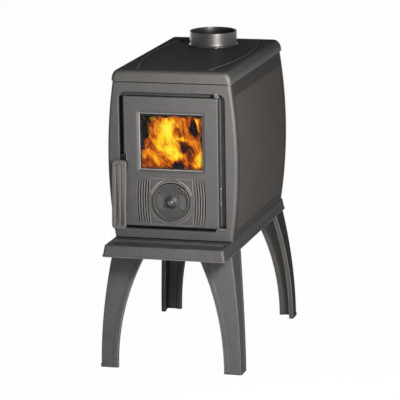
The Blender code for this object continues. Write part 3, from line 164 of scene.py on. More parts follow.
def discard(helper: bpy.types.Object) -> None:
    """Remove a helper and its mesh."""
    mesh = helper.data
    bpy.data.objects.remove(helper)
    bpy.data.meshes.remove(mesh)


class Solid:
    """A closed mesh that is still being shaped."""

    def __init__(self, mesh: bmesh.types.BMesh) -> None:
        """Keep a mesh."""
        self.mesh = mesh

    @classmethod
    def loft(cls, rings: Sequence[Sequence[Point]], wrap: bool = False) -> "Solid":
        """Return a closed solid through rings of as many points each.

        Args:
            rings: Rings of world points.
            wrap: Join the last ring to the first instead of capping both.

        Returns:
            The solid.
        """
        bm = bmesh.new()
        loops = [[bm.verts.new(point) for point in ring] for ring in rings]
        count = len(loops[0])
        pairs = list(zip(loops, loops[1:]))
        if wrap:
            pairs.append((loops[-1], loops[0]))
        else:
            bm.faces.new(loops[0])
            bm.faces.new(loops[-1])
        for low, high in pairs:
            for i in range(count):
                j = (i + 1) % count
                bm.faces.new((low[i], low[j], high[j], high[i]))
        bmesh.ops.recalc_face_normals(bm, faces=bm.faces)
        return cls(bm)

    @classmethod
    def prism(cls, outline: Sequence[Flat], axis: Axis, low: float, high: float) -> "Solid":
        """Return an outline extruded along an axis."""
        return cls.loft([axis.ring(outline, level) for level in (low, high)])

    @classmethod
    def box(cls, x: Flat, y: Flat, z: Flat) -> "Solid":
        """Return a block between two values on each axis."""
        outline = [(x[0], y[0]), (x[1], y[0]), (x[1], y[1]), (x[0], y[1])]
        return cls.prism(outline, Axis.Z, *z)

    @classmethod
    def band(cls, outer: Sequence[Flat], inner: Sequence[Flat], axis: Axis, low: float, high: float) -> "Solid":
        """Return a flat frame between two outlines of as many points each."""
        levels = ((outer, low), (outer, high), (inner, high), (inner, low))
        return cls.loft([axis.ring(outline, level) for outline, level in levels], wrap=True)

    @classmethod
    def turned(cls, profile: Sequence[Flat], center: Flat, axis: Axis, sides: int, bored: bool = False) -> "Solid":
        """Return a turned solid.

        Args:
            profile: (radius, level) points; a bored one is a closed loop.
            center: Centre in the plane across the axis.
            axis: Axis of the turning.
            sides: Number of sides.
            bored: Whether the solid has a hole through it.

        Returns:
            The solid.
        """
        angles = [2 * math.pi / sides * (i + 0.5) for i in range(sides)]
        x, y = center
        rings = [axis.ring([(x + radius * math.cos(a), y + radius * math.sin(a)) for a in angles], level)
                 for radius, level in profile]
        return cls.loft(rings, wrap=bored)

    @classmethod
    def rod(cls, center: Flat, axis: Axis, radius: float, low: float, high: float, sides: int = 32) -> "Solid":
        """Return a round bar."""
        return cls.turned([(radius, low), (radius, high)], center, axis, sides)

    @classmethod
    def joined(cls, parts: Iterable["Solid"]) -> "Solid":
        """Return one mesh that holds several separate solids."""
        result = bmesh.new()
        for part in parts:
            mesh = bpy.data.meshes.new("joined")
            part.mesh.to_mesh(mesh)
            part.mesh.free()
            result.from_mesh(mesh)
            bpy.data.meshes.remove(mesh)
        return cls(result)

    def turn(self, degrees: float, axis: Axis, center: Sequence[float]) -> "Solid":
        """Turn the solid about a point and return it."""
        matrix = Matrix.Rotation(math.radians(degrees), 3, axis.value)
        bmesh.ops.rotate(self.mesh, verts=self.mesh.verts, cent=center, matrix=matrix)
        return self

    def move(self, offset: Sequence[float]) -> "Solid":
        """Move the solid and return it."""
        bmesh.ops.translate(self.mesh, verts=self.mesh.verts, vec=offset)
        return self

    def to_object(self, name: str) -> bpy.types.Object:
        """Return the solid as an object of the scene."""
        mesh = bpy.data.meshes.new(name)
        self.mesh.to_mesh(mesh)
        self.mesh.free()
        return add_object(name, mesh)


def to_plain_mesh(target: bpy.types.Object) -> None:
    """Replace an object's modifiers by their result."""
    bpy.context.view_layer.update()
    graph = bpy.context.evaluated_depsgraph_get()
    mesh = bpy.data.meshes.new_from_object(target.evaluated_get(graph), preserve_all_data_layers=True,
                                           depsgraph=graph)
    old = target.data
    target.modifiers.clear()
    target.data = mesh
    if old.users == 0:
        bpy.data.meshes.remove(old)


def combine(target: bpy.types.Object, operation: str, tool: bpy.types.Object) -> None:
    """Add a boolean modifier that joins a tool to an object or cuts it away."""
    modifier = target.modifiers.new(operation, "BOOLEAN")
    modifier.operation = operation
    modifier.solver = "EXACT"
    modifier.object = tool


@dataclass
class Casting:
    """A piece cast or cut from a base solid, with softened edges."""

    name: str
    base: Solid
    body: Body
    slot: Slot
    surface: bpy.types.Material
    nodes: tuple[str, ...] = ()
    edge: float = 0.0007
    sharp: float = 30.0
    steps: list[tuple[str, Solid]] = field(default_factory=list)

    def cut(self, *tools: Solid) -> "Casting":
        """Take shapes away from the piece."""
        self.steps.append(("DIFFERENCE", Solid.joined(tools)))
        return self

    def fuse(self, *tools: Solid) -> "Casting":
        """Join shapes to the piece."""
        self.steps.append(("UNION", Solid.joined(tools)))
        return self

    def make(self) -> bpy.types.Object:
        """Build the mesh, dress it and put it on its body.

        Returns:
            The finished object.
        """
        result = self.base.to_object(self.name)
        tools = []
        for operation, solid in self.steps:
            tools.append(solid.to_object(f"{self.name}_tool"))
            combine(result, operation, tools[-1])
        to_plain_mesh(result)
        for tool in tools:
            discard(tool)
        soften(result, self.edge, self.sharp)
        return settle(result, self.body, self.slot, self.surface, self.nodes)


def soften(target: bpy.types.Object, edge: float, sharp: float) -> None:
    """Round an object's sharp edges and shade it smooth.

    Args:
        target: Object to work on.
        edge: Width of the rounding; 0 leaves the edges.
        sharp: Angle in degrees past which an edge is rounded.
    """
    target.data.shade_smooth()
    if edge:
        bevel = target.modifiers.new("edges", "BEVEL")
        bevel.width = edge
        bevel.segments = EDGE_STEPS
        bevel.limit_method = "ANGLE"
        bevel.angle_limit = math.radians(sharp)
        bevel.use_clamp_overlap = True
    weigh = target.modifiers.new("weigh", "WEIGHTED_NORMAL")
    weigh.mode = "FACE_AREA"
    weigh.weight = 50
    to_plain_mesh(target)


def settle(target: bpy.types.Object, body: Body, slot: Slot, surface: bpy.types.Material,
           nodes: Sequence[str] = ()) -> bpy.types.Object:
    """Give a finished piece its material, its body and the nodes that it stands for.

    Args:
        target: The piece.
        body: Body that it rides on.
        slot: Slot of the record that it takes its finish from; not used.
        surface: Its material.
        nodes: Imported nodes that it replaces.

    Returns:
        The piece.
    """
    target.data.materials.clear()
    target.data.materials.append(surface)
    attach(target, body.value)
    if nodes:
        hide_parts(*nodes)
    LOG.info("%s: %d faces on %s", target.name, len(target.data.polygons), body.value)
    return target


# Shader maths


class Sum:
    """A shader socket that takes part in Python expressions."""

    def __init__(self, graph: "Graph", socket: bpy.types.NodeSocket) -> None:
        """Keep a socket and the graph that it is in."""
        self.graph = graph
        self.socket = socket

    def _with(self, operation: str, first: Any, second: Any) -> "Sum":
        """Return a Math node's result."""
        return self.graph.node("ShaderNodeMath", {"operation": operation}, {0: first, 1: second})

    def __add__(self, other: Any) -> "Sum":
        """Add."""
        return self._with("ADD", self, other)

    __radd__ = __add__

    def __sub__(self, other: Any) -> "Sum":
        """Subtract."""
        return self._with("SUBTRACT", self, other)

    def __rsub__(self, other: Any) -> "Sum":
        """Subtract from a number."""
        return self._with("SUBTRACT", other, self)

    def __mul__(self, other: Any) -> "Sum":
        """Multiply."""
        return self._with("MULTIPLY", self, other)

    __rmul__ = __mul__

    def __truediv__(self, other: Any) -> "Sum":
        """Divide."""
        return self._with("DIVIDE", self, other)

    def __pow__(self, other: Any) -> "Sum":
        """Raise to a power."""
        return self._with("POWER", self, other)

    def __abs__(self) -> "Sum":
        """Drop the sign."""
        return self._with("ABSOLUTE", self, 0.0)

    def clamp(self) -> "Sum":
        """Keep between 0 and 1."""
        return self._with("MINIMUM", self._with("MAXIMUM", self, 0.0), 1.0)

    def between(self, low: float, high: float) -> "Sum":
        """Return 0 below low, 1 above high, and a smooth step between."""
        return self.graph.node("ShaderNodeMapRange", {"interpolation_type": "SMOOTHSTEP"},
                               {"Value": self, "From Min": low, "From Max": high})


class Graph:
    """A material's or the world's node tree."""

    def __init__(self, tree: bpy.types.NodeTree) -> None:
        """Empty the tree and keep it."""
        self.tree = tree
        tree.nodes.clear()

    def node(self, kind: str, settings: dict[str, Any] | None = None, inputs: dict[Any, Any] | None = None,
             output: Any = 0) -> Sum:
        """Add a node.

        Args:
            kind: Type of the node.
            settings: Its settings; "stops" fills a colour ramp.
            inputs: Values or links of its sockets, by name or place.
            output: Name or place of the socket to return.

        Returns:
            The output socket.
        """
        made = self.tree.nodes.new(kind)
        for name, value in (settings or {}).items():
            if name == "stops":
                self._fill_ramp(made.color_ramp, value)
            else:
                setattr(made, name, value)
        for name, value in (inputs or {}).items():
            socket = made.inputs[name]
            if isinstance(value, Sum):
                self.tree.links.new(value.socket, socket)
            else:
                socket.default_value = value
        return Sum(self, made.outputs[output])

    @staticmethod
    def _fill_ramp(ramp: bpy.types.ColorRamp, stops: Sequence[tuple[float, Sequence[float]]]) -> None:
        """Set a colour ramp's stops."""
        while len(ramp.elements) > 1:
            ramp.elements.remove(ramp.elements[-1])
        for i, (place, color) in enumerate(stops):
            element = ramp.elements[0] if i == 0 else ramp.elements.new(place)
            element.position = place
            element.color = (*color, 1.0)

    def place(self, scale: Sequence[float] = (1, 1, 1), offset: Sequence[float] = (0, 0, 0)) -> Sum:
        """Return the object's coordinates, stretched and moved."""
        source = self.node("ShaderNodeTexCoord", output="Object")
        return self.node("ShaderNodeMapping", {}, {"Vector": source, "Scale": scale, "Location": offset})

    def noise(self, vector: Sum, scale: float, detail: float = 3.0, roughness: float = 0.55,
              distortion: float = 0.0) -> Sum:
        """Return noise from 0 to 1."""
        return self.node("ShaderNodeTexNoise", {}, {"Vector": vector, "Scale": scale, "Detail": detail,
                                                    "Roughness": roughness, "Distortion": distortion}, "Fac")

    def split(self, vector: Sum) -> list[Sum]:
        """Return a vector's three parts."""
        parts = self.node("ShaderNodeSeparateXYZ", {}, {"Vector": vector}).socket.node.outputs
        return [Sum(self, part) for part in parts]

    def mix(self, factor: Any, first: Any, second: Any) -> Sum:
        """Mix two colours."""
        return self.node("ShaderNodeMix", {"data_type": "RGBA"}, {0: factor, 6: rgba(first), 7: rgba(second)}, 2)

    def enclosed(self, distance: float, inside: bool) -> Sum:
        """Return how closed in a point is, from 0 to 1: hollows from outside, edges from inside."""
        return 1.0 - self.node("ShaderNodeAmbientOcclusion", {"samples": 6, "inside": inside, "only_local": inside},
                               {"Distance": distance}, "AO")

    def bump(self, height: Sum, distance: float) -> Sum:
        """Return a normal from a height in units of distance metres."""
        return self.node("ShaderNodeBump", {}, {"Height": height, "Distance": distance, "Strength": 1.0})

    def surface(self, inputs: dict[str, Any]) -> Sum:
        """Return a Principled shader."""
        return self.node("ShaderNodeBsdfPrincipled", {}, inputs)

    def layered(self, factor: Sum, first: Sum, second: Sum) -> Sum:
        """Mix two shaders."""
        return self.node("ShaderNodeMixShader", {}, {0: factor, 1: first, 2: second})

    def end(self, shader: Sum, kind: str = "ShaderNodeOutputMaterial") -> None:
        """Link the last shader to an output node."""
        made = self.tree.nodes.new(kind)
        self.tree.links.new(shader.socket, made.inputs["Surface"])


def rgba(color: Any) -> Any:
    """Return a colour with its alpha, or a socket as it is."""
    return color if isinstance(color, Sum) else (*color[:3], 1.0)


# Finishes


class Finish:
    """A named finish that is built as a material of nodes."""

    name: str

    def shader(self, g: Graph) -> Sum:
        """Build the nodes in a graph and return the last shader."""
        raise NotImplementedError

    def material(self) -> bpy.types.Material:
        """Return the finish as a material."""
        result = bpy.data.materials.new(self.name)
        result.use_nodes = True
        graph = Graph(result.node_tree)
        graph.end(self.shader(graph))
        return result


@dataclass(frozen=True)
class CastIron(Finish):
    """Sand-cast iron under matt stove paint, with painted shade and painted edge highlights in its colour."""

    name: str
    dark: Color
    light: Color
    roughness: float
    metallic: float
    grain: float = 1.0
    stain: float = 0.0
    sheen: float = 0.5
    edge: float = 0.0026
    # How far the painted shade in hollows and gaps reaches.
    shade_reach: float = 0.009
    # How far convex edges are lightened: edge wear and painted highlight.
    wear_and_highlight: float = 1.0
    # How far upward faces and faces turned along x are darkened: painted shade.
    upper: float = 0.0
    side_shade: float = 0.0
    shade_tone: float = 0.18
    bare_and_highlight: float = 3.0

    def shader(self, g: Graph) -> Sum:
        """Build the nodes in a graph and return the last shader."""
        where = g.place()
        sand = g.noise(where, 950, 2.0, 0.6)
        pits = g.noise(where, 320, 3.0, 0.6)
        skin = g.noise(where, 34, 4.0, 0.6)
        cloud = g.noise(where, 6, 3.0, 0.5)
        tone = (0.9 * (sand - 0.5) + 1.3 * (pits - 0.5)) * self.grain + 0.55 * (skin - 0.5) + 0.40 * (cloud - 0.5)
        color = g.mix((tone + 0.5).clamp(), self.dark, self.light)
        if self.stain:
            rust = g.noise(g.place(offset=(3.1, 1.7, 0.4)), 21, 5.0, 0.65)
            color = g.mix(rust.between(0.48, 0.72) * self.stain, color, (0.095, 0.062, 0.044))
        sideways, _, upwards = g.split(g.node("ShaderNodeTexCoord", output="Normal"))
        # Painted shade: faces that look up or sideways along x are darkened towards a fraction of the dark colour
        # and made rougher.
        upward_shade = upwards.between(0.12, 0.88) * self.upper
        shaded = abs(sideways).between(0.70, 0.97) * self.side_shade
        color = g.mix((upward_shade + shaded).clamp(), color, tuple(self.shade_tone * c for c in self.dark))
        # Convex edges are lightened towards several times the light colour: edge wear and a painted highlight
        # together.
        worn_and_highlight = g.enclosed(self.edge, True).between(0.12, 0.50)
        # Painted shade: hollows, creases and narrow gaps found by occlusion are mixed towards a flat black shader,
        # soot and shade together.
        soot_and_shade = g.enclosed(self.shade_reach, False).between(0.18, 0.58)
        color = g.mix(worn_and_highlight * self.wear_and_highlight, color, tuple(self.bare_and_highlight * c for c in self.light))
        rough = (self.roughness + 0.22 * (pits - 0.5) + 0.12 * (skin - 0.5) - 0.10 * worn_and_highlight
                 + 0.25 * (upward_shade + shaded)).clamp()
        height = 0.55 * sand + 0.75 * pits + 0.5 * skin
        shader = g.surface({
            "Base Color": color, "Roughness": rough, "Metallic": self.metallic, "Specular IOR Level": self.sheen,
            "Normal": g.bump(height, 0.00022 * self.grain)})
        shade_black = g.surface({
            "Base Color": (0.005, 0.0045, 0.0045, 1.0), "Roughness": 1.0, "Specular IOR Level": 0.0})
        return g.layered(soot_and_shade * 0.9, shader, shade_black)


@dataclass(frozen=True)
class BareSteel(Finish):
    """Dull turned steel with fine marks."""

    name: str = "dull_steel"
    color: Color = (0.30, 0.29, 0.28)
    roughness: float = 0.38

    def shader(self, g: Graph) -> Sum:
        """Build the nodes in a graph and return the last shader."""
        marks = g.noise(g.place(scale=(1, 1, 9)), 420, 2.0)
        film = g.noise(g.place(), 90, 4.0, 0.6)
        color = g.mix(film, tuple(0.65 * c for c in self.color), tuple(1.25 * c for c in self.color))
        rough = self.roughness + 0.25 * (marks - 0.5) + 0.15 * (film - 0.5)
        return g.surface({"Base Color": color, "Roughness": rough, "Metallic": 0.9,
                          "Normal": g.bump(marks, 0.00003)})


@dataclass(frozen=True)
class RopeFibre(Finish):
    """Braided mineral fibre, greyed by soot."""

    name: str = "rope_fibre"
    pale: Color = (0.36, 0.34, 0.30)
    dark: Color = (0.10, 0.095, 0.09)

    def shader(self, g: Graph) -> Sum:
        """Build the nodes in a graph and return the last shader."""
        where = g.place()
        fibre = g.noise(where, 1500, 2.0)
        soot_and_shade = g.noise(where, 45, 4.0, 0.6)
        color = g.mix((0.8 * soot_and_shade + 0.4 * (fibre - 0.5)).clamp(), self.dark, self.pale)
        return g.surface({"Base Color": color, "Roughness": (0.9 + 0.1 * (fibre - 0.5)).clamp(),
                          "Normal": g.bump(fibre, 0.00025)})


@dataclass(frozen=True)
class CeramicGlass(Finish):
    """Clear ceramic glass, darkened towards its edge by soot and painted shade."""

    name: str = "ceramic_glass"
    center: Flat = (-0.001, 0.5075)
    half: Flat = (0.071, 0.061)

    def shader(self, g: Graph) -> Sum:
        """Build the nodes in a graph and return the last shader."""
        x, _, z = g.split(g.place())
        side = abs(x - self.center[0]) / self.half[0]
        level = abs(z - self.center[1]) / self.half[1]
        rim = g.node("ShaderNodeMath", {"operation": "MAXIMUM"}, {0: side, 1: level})
        haze = g.noise(g.place(), 60, 4.0, 0.6)
        # Towards its edge the pane is mixed towards a dark film: soot and painted shade.
        soot_and_shade = ((rim + 0.16 * (haze - 0.5)).between(0.86, 1.06) * 0.75).clamp()
        clear = g.surface({
            "Base Color": (0.96, 0.95, 0.92, 1.0), "Roughness": 0.02, "IOR": 1.10, "Transmission Weight": 1.0,
            "Specular IOR Level": 0.5})
        film = g.surface({"Base Color": (0.012, 0.012, 0.014, 1.0), "Roughness": 0.35})
        return g.layered(soot_and_shade, clear, film)


@dataclass(frozen=True)
class Patch:
    """A soft oval of more or less heat in the curtain of flame."""

    x: float
    z: float
    wide: float
    high: float
    gain: float
    lean: float = 0.0


@dataclass(frozen=True)
class Flame(Finish):
    """Burning gas: bright columns, dark hollows and torn edges between them."""

    name: str
    patches: tuple[Patch, ...]
    base: float = 0.355

    def shader(self, g: Graph) -> Sum:
        """Build the nodes in a graph and return the last shader."""
        where = g.place()
        for scale, reach in ((15.0, 0.036), (44.0, 0.017)):
            drift = g.node("ShaderNodeTexNoise", {}, {"Vector": where, "Scale": scale, "Detail": 2.0}, "Color")
            drift = g.node("ShaderNodeVectorMath", {"operation": "SUBTRACT"}, {0: drift, 1: (0.5, 0.5, 0.5)})
            drift = g.node("ShaderNodeVectorMath", {"operation": "SCALE"}, {0: drift, "Scale": reach})
            where = g.node("ShaderNodeVectorMath", {"operation": "ADD"}, {0: where, 1: drift})
        x, _, z = g.split(where)
        heat: Any = self.base
        for patch in self.patches:
            across = (x - patch.x - patch.lean * (z - patch.z)) / patch.wide
            up = (z - patch.z) / patch.high
            far = (across * across + up * up) ** 0.5
            heat = heat + patch.gain * (1.0 - far.between(0.3, 1.5))
        drawn = g.node("ShaderNodeCombineXYZ", {}, {"X": x + 0.35 * z, "Y": 0.3, "Z": 0.5 * z})
        lick = g.noise(drawn, 70, 8.0, 0.70, 1.2)
        wisp = 1.0 - abs(2.0 * g.noise(drawn, 38, 4.0, 0.6, 1.8) - 1.0)
        heat = (heat + 1.5 * (lick - 0.5) + 0.42 * (wisp - 0.80)).clamp()
        color = g.node("ShaderNodeValToRGB", {"stops": (
            (0.0, (0.010, 0.008, 0.009)), (0.18, (0.026, 0.012, 0.010)), (0.30, (0.13, 0.022, 0.007)),
            (0.42, (0.50, 0.085, 0.006)), (0.55, (0.80, 0.215, 0.008)), (0.68, (0.92, 0.40, 0.012)),
            (0.80, (0.98, 0.66, 0.018)), (0.92, (1.0, 0.83, 0.035)), (1.0, (1.0, 0.86, 0.07)))}, {"Fac": heat})
        corner = 1.0 - ((x + 0.055) * (x + 0.055) / 0.0009 + (z - 0.54) * (z - 0.54) / 0.0005).clamp()
        green = g.noise(where, 90, 3.0).between(0.50, 0.66) * corner
        color = g.mix(green * 0.7, color, (0.34, 0.36, 0.03))
        solid = 0.88 + 0.12 * heat.between(0.0, 0.13)
        return g.surface({
            "Base Color": (0.01, 0.008, 0.006, 1.0), "Roughness": 1.0, "Specular IOR Level": 0.0,
            "Emission Color": color, "Emission Strength": 1.0, "Alpha": solid})


@dataclass(frozen=True)
class CharredWood(Finish):
    """Burning split wood: charcoal with glowing cracks."""

    name: str = "charred_wood"

    def shader(self, g: Graph) -> Sum:
        """Build the nodes in a graph and return the last shader."""
        where = g.place()
        cells = g.node("ShaderNodeTexVoronoi", {"feature": "DISTANCE_TO_EDGE"},
                       {"Vector": g.place(scale=(0.5, 1, 1)), "Scale": 85.0}, "Distance")
        ash = g.noise(where, 60, 5.0, 0.65)
        patch = g.noise(where, 22, 3.0)
        crack = 1.0 - cells.between(0.0, 0.13)
        glow = g.mix((crack * patch.between(0.42, 0.62)).clamp(), (0.0, 0.0, 0.0), (1.0, 0.20, 0.02))
        return g.surface({
            "Base Color": g.mix(ash.between(0.5, 0.75), (0.012, 0.010, 0.009), (0.16, 0.15, 0.14)),
            "Roughness": (0.8 + 0.3 * (ash - 0.5)).clamp(), "Emission Color": glow, "Emission Strength": 1.5,
            "Normal": g.bump(cells.between(0.0, 0.2), 0.0015)})


@dataclass(frozen=True)
class PaleFloor(Finish):
    """A white floor that keeps the object's shadow."""

    name: str = "pale_floor"
    color: float = 0.82
    glow: float = 0.98

    def shader(self, g: Graph) -> Sum:
        """Build the nodes in a graph and return the last shader."""
        grain = g.noise(g.place(), 40, 3.0)
        pale = g.mix(grain, (self.color - 0.01,) * 3, (self.color + 0.01,) * 3)
        matt = g.surface({"Base Color": pale, "Roughness": 0.9, "Specular IOR Level": 0.1})
        white = g.node("ShaderNodeEmission", {}, {"Color": (1.0, 1.0, 1.0, 1.0), "Strength": 1.0})
        return g.layered(seen_directly(g) * self.glow, matt, white)


def seen_directly(g: Graph) -> Sum:
    """Return 1 for rays from the camera, a reflection or through glass."""
    path = g.node("ShaderNodeLightPath").socket.node
    rays = [Sum(g, path.outputs[name]) for name in ("Is Camera Ray", "Is Glossy Ray", "Is Transmission Ray")]
    return (rays[0] + rays[1] + rays[2]).clamp()


@dataclass
class Finishes:
    """Every material of the stove."""

    iron: bpy.types.Material
    # A darker copy of the iron for the side walls: painted shade.
    side: bpy.types.Material
    crown: bpy.types.Material
    register: bpy.types.Material
    collar: bpy.types.Material
    wall: bpy.types.Material
    # A lighter copy of the iron for the handle: painted light.
    grip: bpy.types.Material
    # A copy of the iron for the rear legs, darker on faces turned along x: painted shade.
    rear: bpy.types.Material
    sooty: bpy.types.Material
    steel: bpy.types.Material
    bolt: bpy.types.Material
    rope: bpy.types.Material
    glass: bpy.types.Material

    @classmethod
    def make(cls) -> "Finishes":
        """Return the finishes of this stove."""
        # The painted iron darkens its upward and sideways faces as painted shade.
        painted = CastIron("painted_casting", (0.052, 0.0495, 0.0475), (0.108, 0.103, 0.099), 0.48, 0.05,
                           sheen=0.40, upper=0.62, side_shade=0.80)
        irons = {
            "iron": painted,
            # The side walls' copy of the iron, darker and rougher: painted shade.
            "side": CastIron("shaded_side_casting", (0.010, 0.009, 0.008), (0.027, 0.023, 0.021), 0.78, 0.0, sheen=0.25),
            # The top plate darkens its upward and sideways faces as painted shade.
            "crown": CastIron("top_casting", (0.050, 0.047, 0.044), (0.104, 0.098, 0.093), 0.50, 0.0,
                              upper=0.46, side_shade=0.62),
            "register": CastIron("register_casting", (0.024, 0.0225, 0.021), (0.052, 0.048, 0.045), 0.44, 0.05,
                                 sheen=0.6),
            "collar": CastIron("collar_casting", (0.085, 0.081, 0.078), (0.130, 0.125, 0.120), 0.40, 0.75,
                               grain=0.45, sheen=0.6),
            # The front wall's painted shade in hollows reaches less far.
            "wall": replace(painted, name="front_casting", shade_reach=0.006),
            # The handle's copy of the iron, lighter and with stronger edge lightening: painted light.
            "grip": replace(painted, name="brightened_handle_finish", dark=(0.074, 0.070, 0.067),
                            light=(0.150, 0.142, 0.136), wear_and_highlight=1.3),
            # The rear legs' copy of the iron: sideways faces fully darkened as painted shade.
            "rear": CastIron("shaded_rear_casting", (0.050, 0.047, 0.044), (0.105, 0.098, 0.092), 0.62, 0.0,
                             sheen=0.25, side_shade=1.0),
            "sooty": CastIron("sooty_casting", (0.008, 0.007, 0.006), (0.034, 0.030, 0.027), 0.90, 0.0,
                              grain=1.4, stain=0.5)}
        return cls(**{part: recipe.material() for part, recipe in irons.items()},
                   steel=BareSteel().material(),
                   bolt=BareSteel("blackened_steel", (0.20, 0.19, 0.18), 0.36).material(),
                   rope=RopeFibre().material(), glass=CeramicGlass().material())


# Shared layout


@dataclass(frozen=True)
class Layout:
    """Heights and planes that several sub-assemblies share."""

    gap: float = 0.0003
    leg_height: float = 0.263
    tray_top: float = 0.289
    body_top: float = 0.639
    top_surface: float = 0.666
    front: float = -0.200
    back: float = 0.257
    end_half: float = 0.1343
    bow: float = 0.0137
    wall: float = 0.006
    recess_half: float = 0.1195
    recess_low: float = 0.3105
    recess_high: float = 0.6155
    land: float = -0.184
    land_back: float = -0.179
    door_left: float = -0.108
    door_right: float = 0.106
    door_low: float = 0.319
    door_high: float = 0.6085
    door_face: float = -0.206
    door_back: float = -0.189
    door_inner: float = -0.199
    latch_notch: float = 0.0047
    hinge_x: float = 0.102
    pivot_y: float = -0.199
    pivot_z: float = 0.460
    disc_z: float = 0.3755

    def half_width(self, z: float) -> float:
        """Return the bowed body's half width at height z."""
        middle = (self.tray_top + self.body_top) / 2
        share = (z - middle) / ((self.body_top - self.tray_top) / 2)
        return self.end_half + self.bow * (1 - share * share)

    @property
    def door_x(self) -> float:
        """Return the middle of the door's width."""
        return (self.door_left + self.door_right) / 2

    @property
    def door_middle(self) -> Flat:
        """Return the middle of the door."""
        return self.door_x, (self.door_high + self.door_low) / 2

    @property
    def door_half(self) -> Flat:
        """Return half the door's width and height."""
        return (self.door_right - self.door_left) / 2, (self.door_high - self.door_low) / 2

    @property
    def disc_center(self) -> Flat:
        """Return the place of the air disc's axis."""
        return self.door_x, self.disc_z


LAYOUT = Layout()


# Geometry Nodes


class Growth:
    """A Geometry Nodes tree that is built in the script."""

    def __init__(self, name: str, sizes: dict[str, float]) -> None:
        """Start a tree with a geometry input and named sizes.

        Args:
            name: Name of the tree.
            sizes: Default of each size input.
        """
        self.tree = bpy.data.node_groups.new(name, "GeometryNodeTree")
        self.keys: dict[str, str] = {}
        face = self.tree.interface
        face.new_socket("Geometry", in_out="INPUT", socket_type="NodeSocketGeometry")
        face.new_socket("Geometry", in_out="OUTPUT", socket_type="NodeSocketGeometry")
        for label, value in sizes.items():
            socket = face.new_socket(label, in_out="INPUT", socket_type="NodeSocketFloat")
            socket.default_value = value
            self.keys[label] = socket.identifier
        self.start = self.tree.nodes.new("NodeGroupInput")

    def size(self, label: str) -> bpy.types.NodeSocket:
        """Return a named size."""
        return self.start.outputs[label]

    def add(self, kind: str, settings: dict[str, Any] | None = None, inputs: dict[Any, Any] | None = None,
            output: Any = 0) -> bpy.types.NodeSocket:
        """Add a node and return one of its outputs.

        Args:
            kind: Type of the node.
            settings: Its settings.
            inputs: Values or links of its sockets.
            output: Name or place of the output.

        Returns:
            The output socket.
        """
        made = self.tree.nodes.new(kind)
        for name, value in (settings or {}).items():
            setattr(made, name, value)
        for name, value in (inputs or {}).items():
            if isinstance(value, bpy.types.NodeSocket):
                self.tree.links.new(value, made.inputs[name])
            else:
                made.inputs[name].default_value = value
        return made.outputs[output]

    def triple(self, *labels: str) -> bpy.types.NodeSocket:
        """Return three named sizes as a vector."""
        return self.add("ShaderNodeCombineXYZ", {}, {axis: self.size(label) for axis, label in zip("XYZ", labels)})

    def facing(self) -> bpy.types.NodeSocket:
        """Return the rotation that points Z along the direction that each point carries."""
        carried = self.add("GeometryNodeInputNamedAttribute", {"data_type": "FLOAT_VECTOR"}, {"Name": "facing"})
        return self.add("FunctionNodeAlignRotationToVector", {"axis": "Z"}, {"Vector": carried})

    def upright(self, rotation: bpy.types.NodeSocket, toward: Point) -> bpy.types.NodeSocket:
        """Turn a rotation about its own Z until its Y looks towards a direction."""
        return self.add("FunctionNodeAlignRotationToVector", {"axis": "Y", "pivot_axis": "Z"},
                        {"Rotation": rotation, "Vector": toward})

    def scatter(self, instance: bpy.types.NodeSocket, rotation: Any, scale: Any,
                points: bpy.types.NodeSocket | None = None) -> bpy.types.NodeSocket:
        """Return an instance on each of the input's points, or on the points given."""
        if points is None:
            points = self.start.outputs["Geometry"]
        return self.add("GeometryNodeInstanceOnPoints", {}, {
            "Points": points, "Instance": instance, "Rotation": rotation, "Scale": scale})

    def finish(self, geometry: bpy.types.NodeSocket, surface: bpy.types.Material) -> None:
        """End the tree in Realize Instances and Set Material."""
        real = self.add("GeometryNodeRealizeInstances", {}, {"Geometry": geometry})
        dressed = self.add("GeometryNodeSetMaterial", {}, {"Geometry": real, "Material": surface})
        end = self.tree.nodes.new("NodeGroupOutput")
        self.tree.links.new(dressed, end.inputs["Geometry"])

    def grow(self, target: bpy.types.Object, sizes: dict[str, float]) -> None:
        """Apply the tree to an object and leave a plain mesh.

        Args:
            target: Object that carries the points or the path.
            sizes: Values of the size inputs.
        """
        modifier = target.modifiers.new("growth", "NODES")
        modifier.node_group = self.tree
        for label, value in sizes.items():
            modifier[self.keys[label]] = value
        to_plain_mesh(target)


def point_cloud(name: str, points: Sequence[Sequence[float]],
                normals: Sequence[Sequence[float]]) -> bpy.types.Object:
    """Return an object of loose vertices that carry a direction each."""
    mesh = bpy.data.meshes.new(name)
    mesh.from_pydata([tuple(p) for p in points], [], [])
    facing = mesh.attributes.new("facing", "FLOAT_VECTOR", "POINT")
    facing.data.foreach_set("vector", [value for normal in normals for value in normal])
    return add_object(name, mesh)


# Sub-assemblies


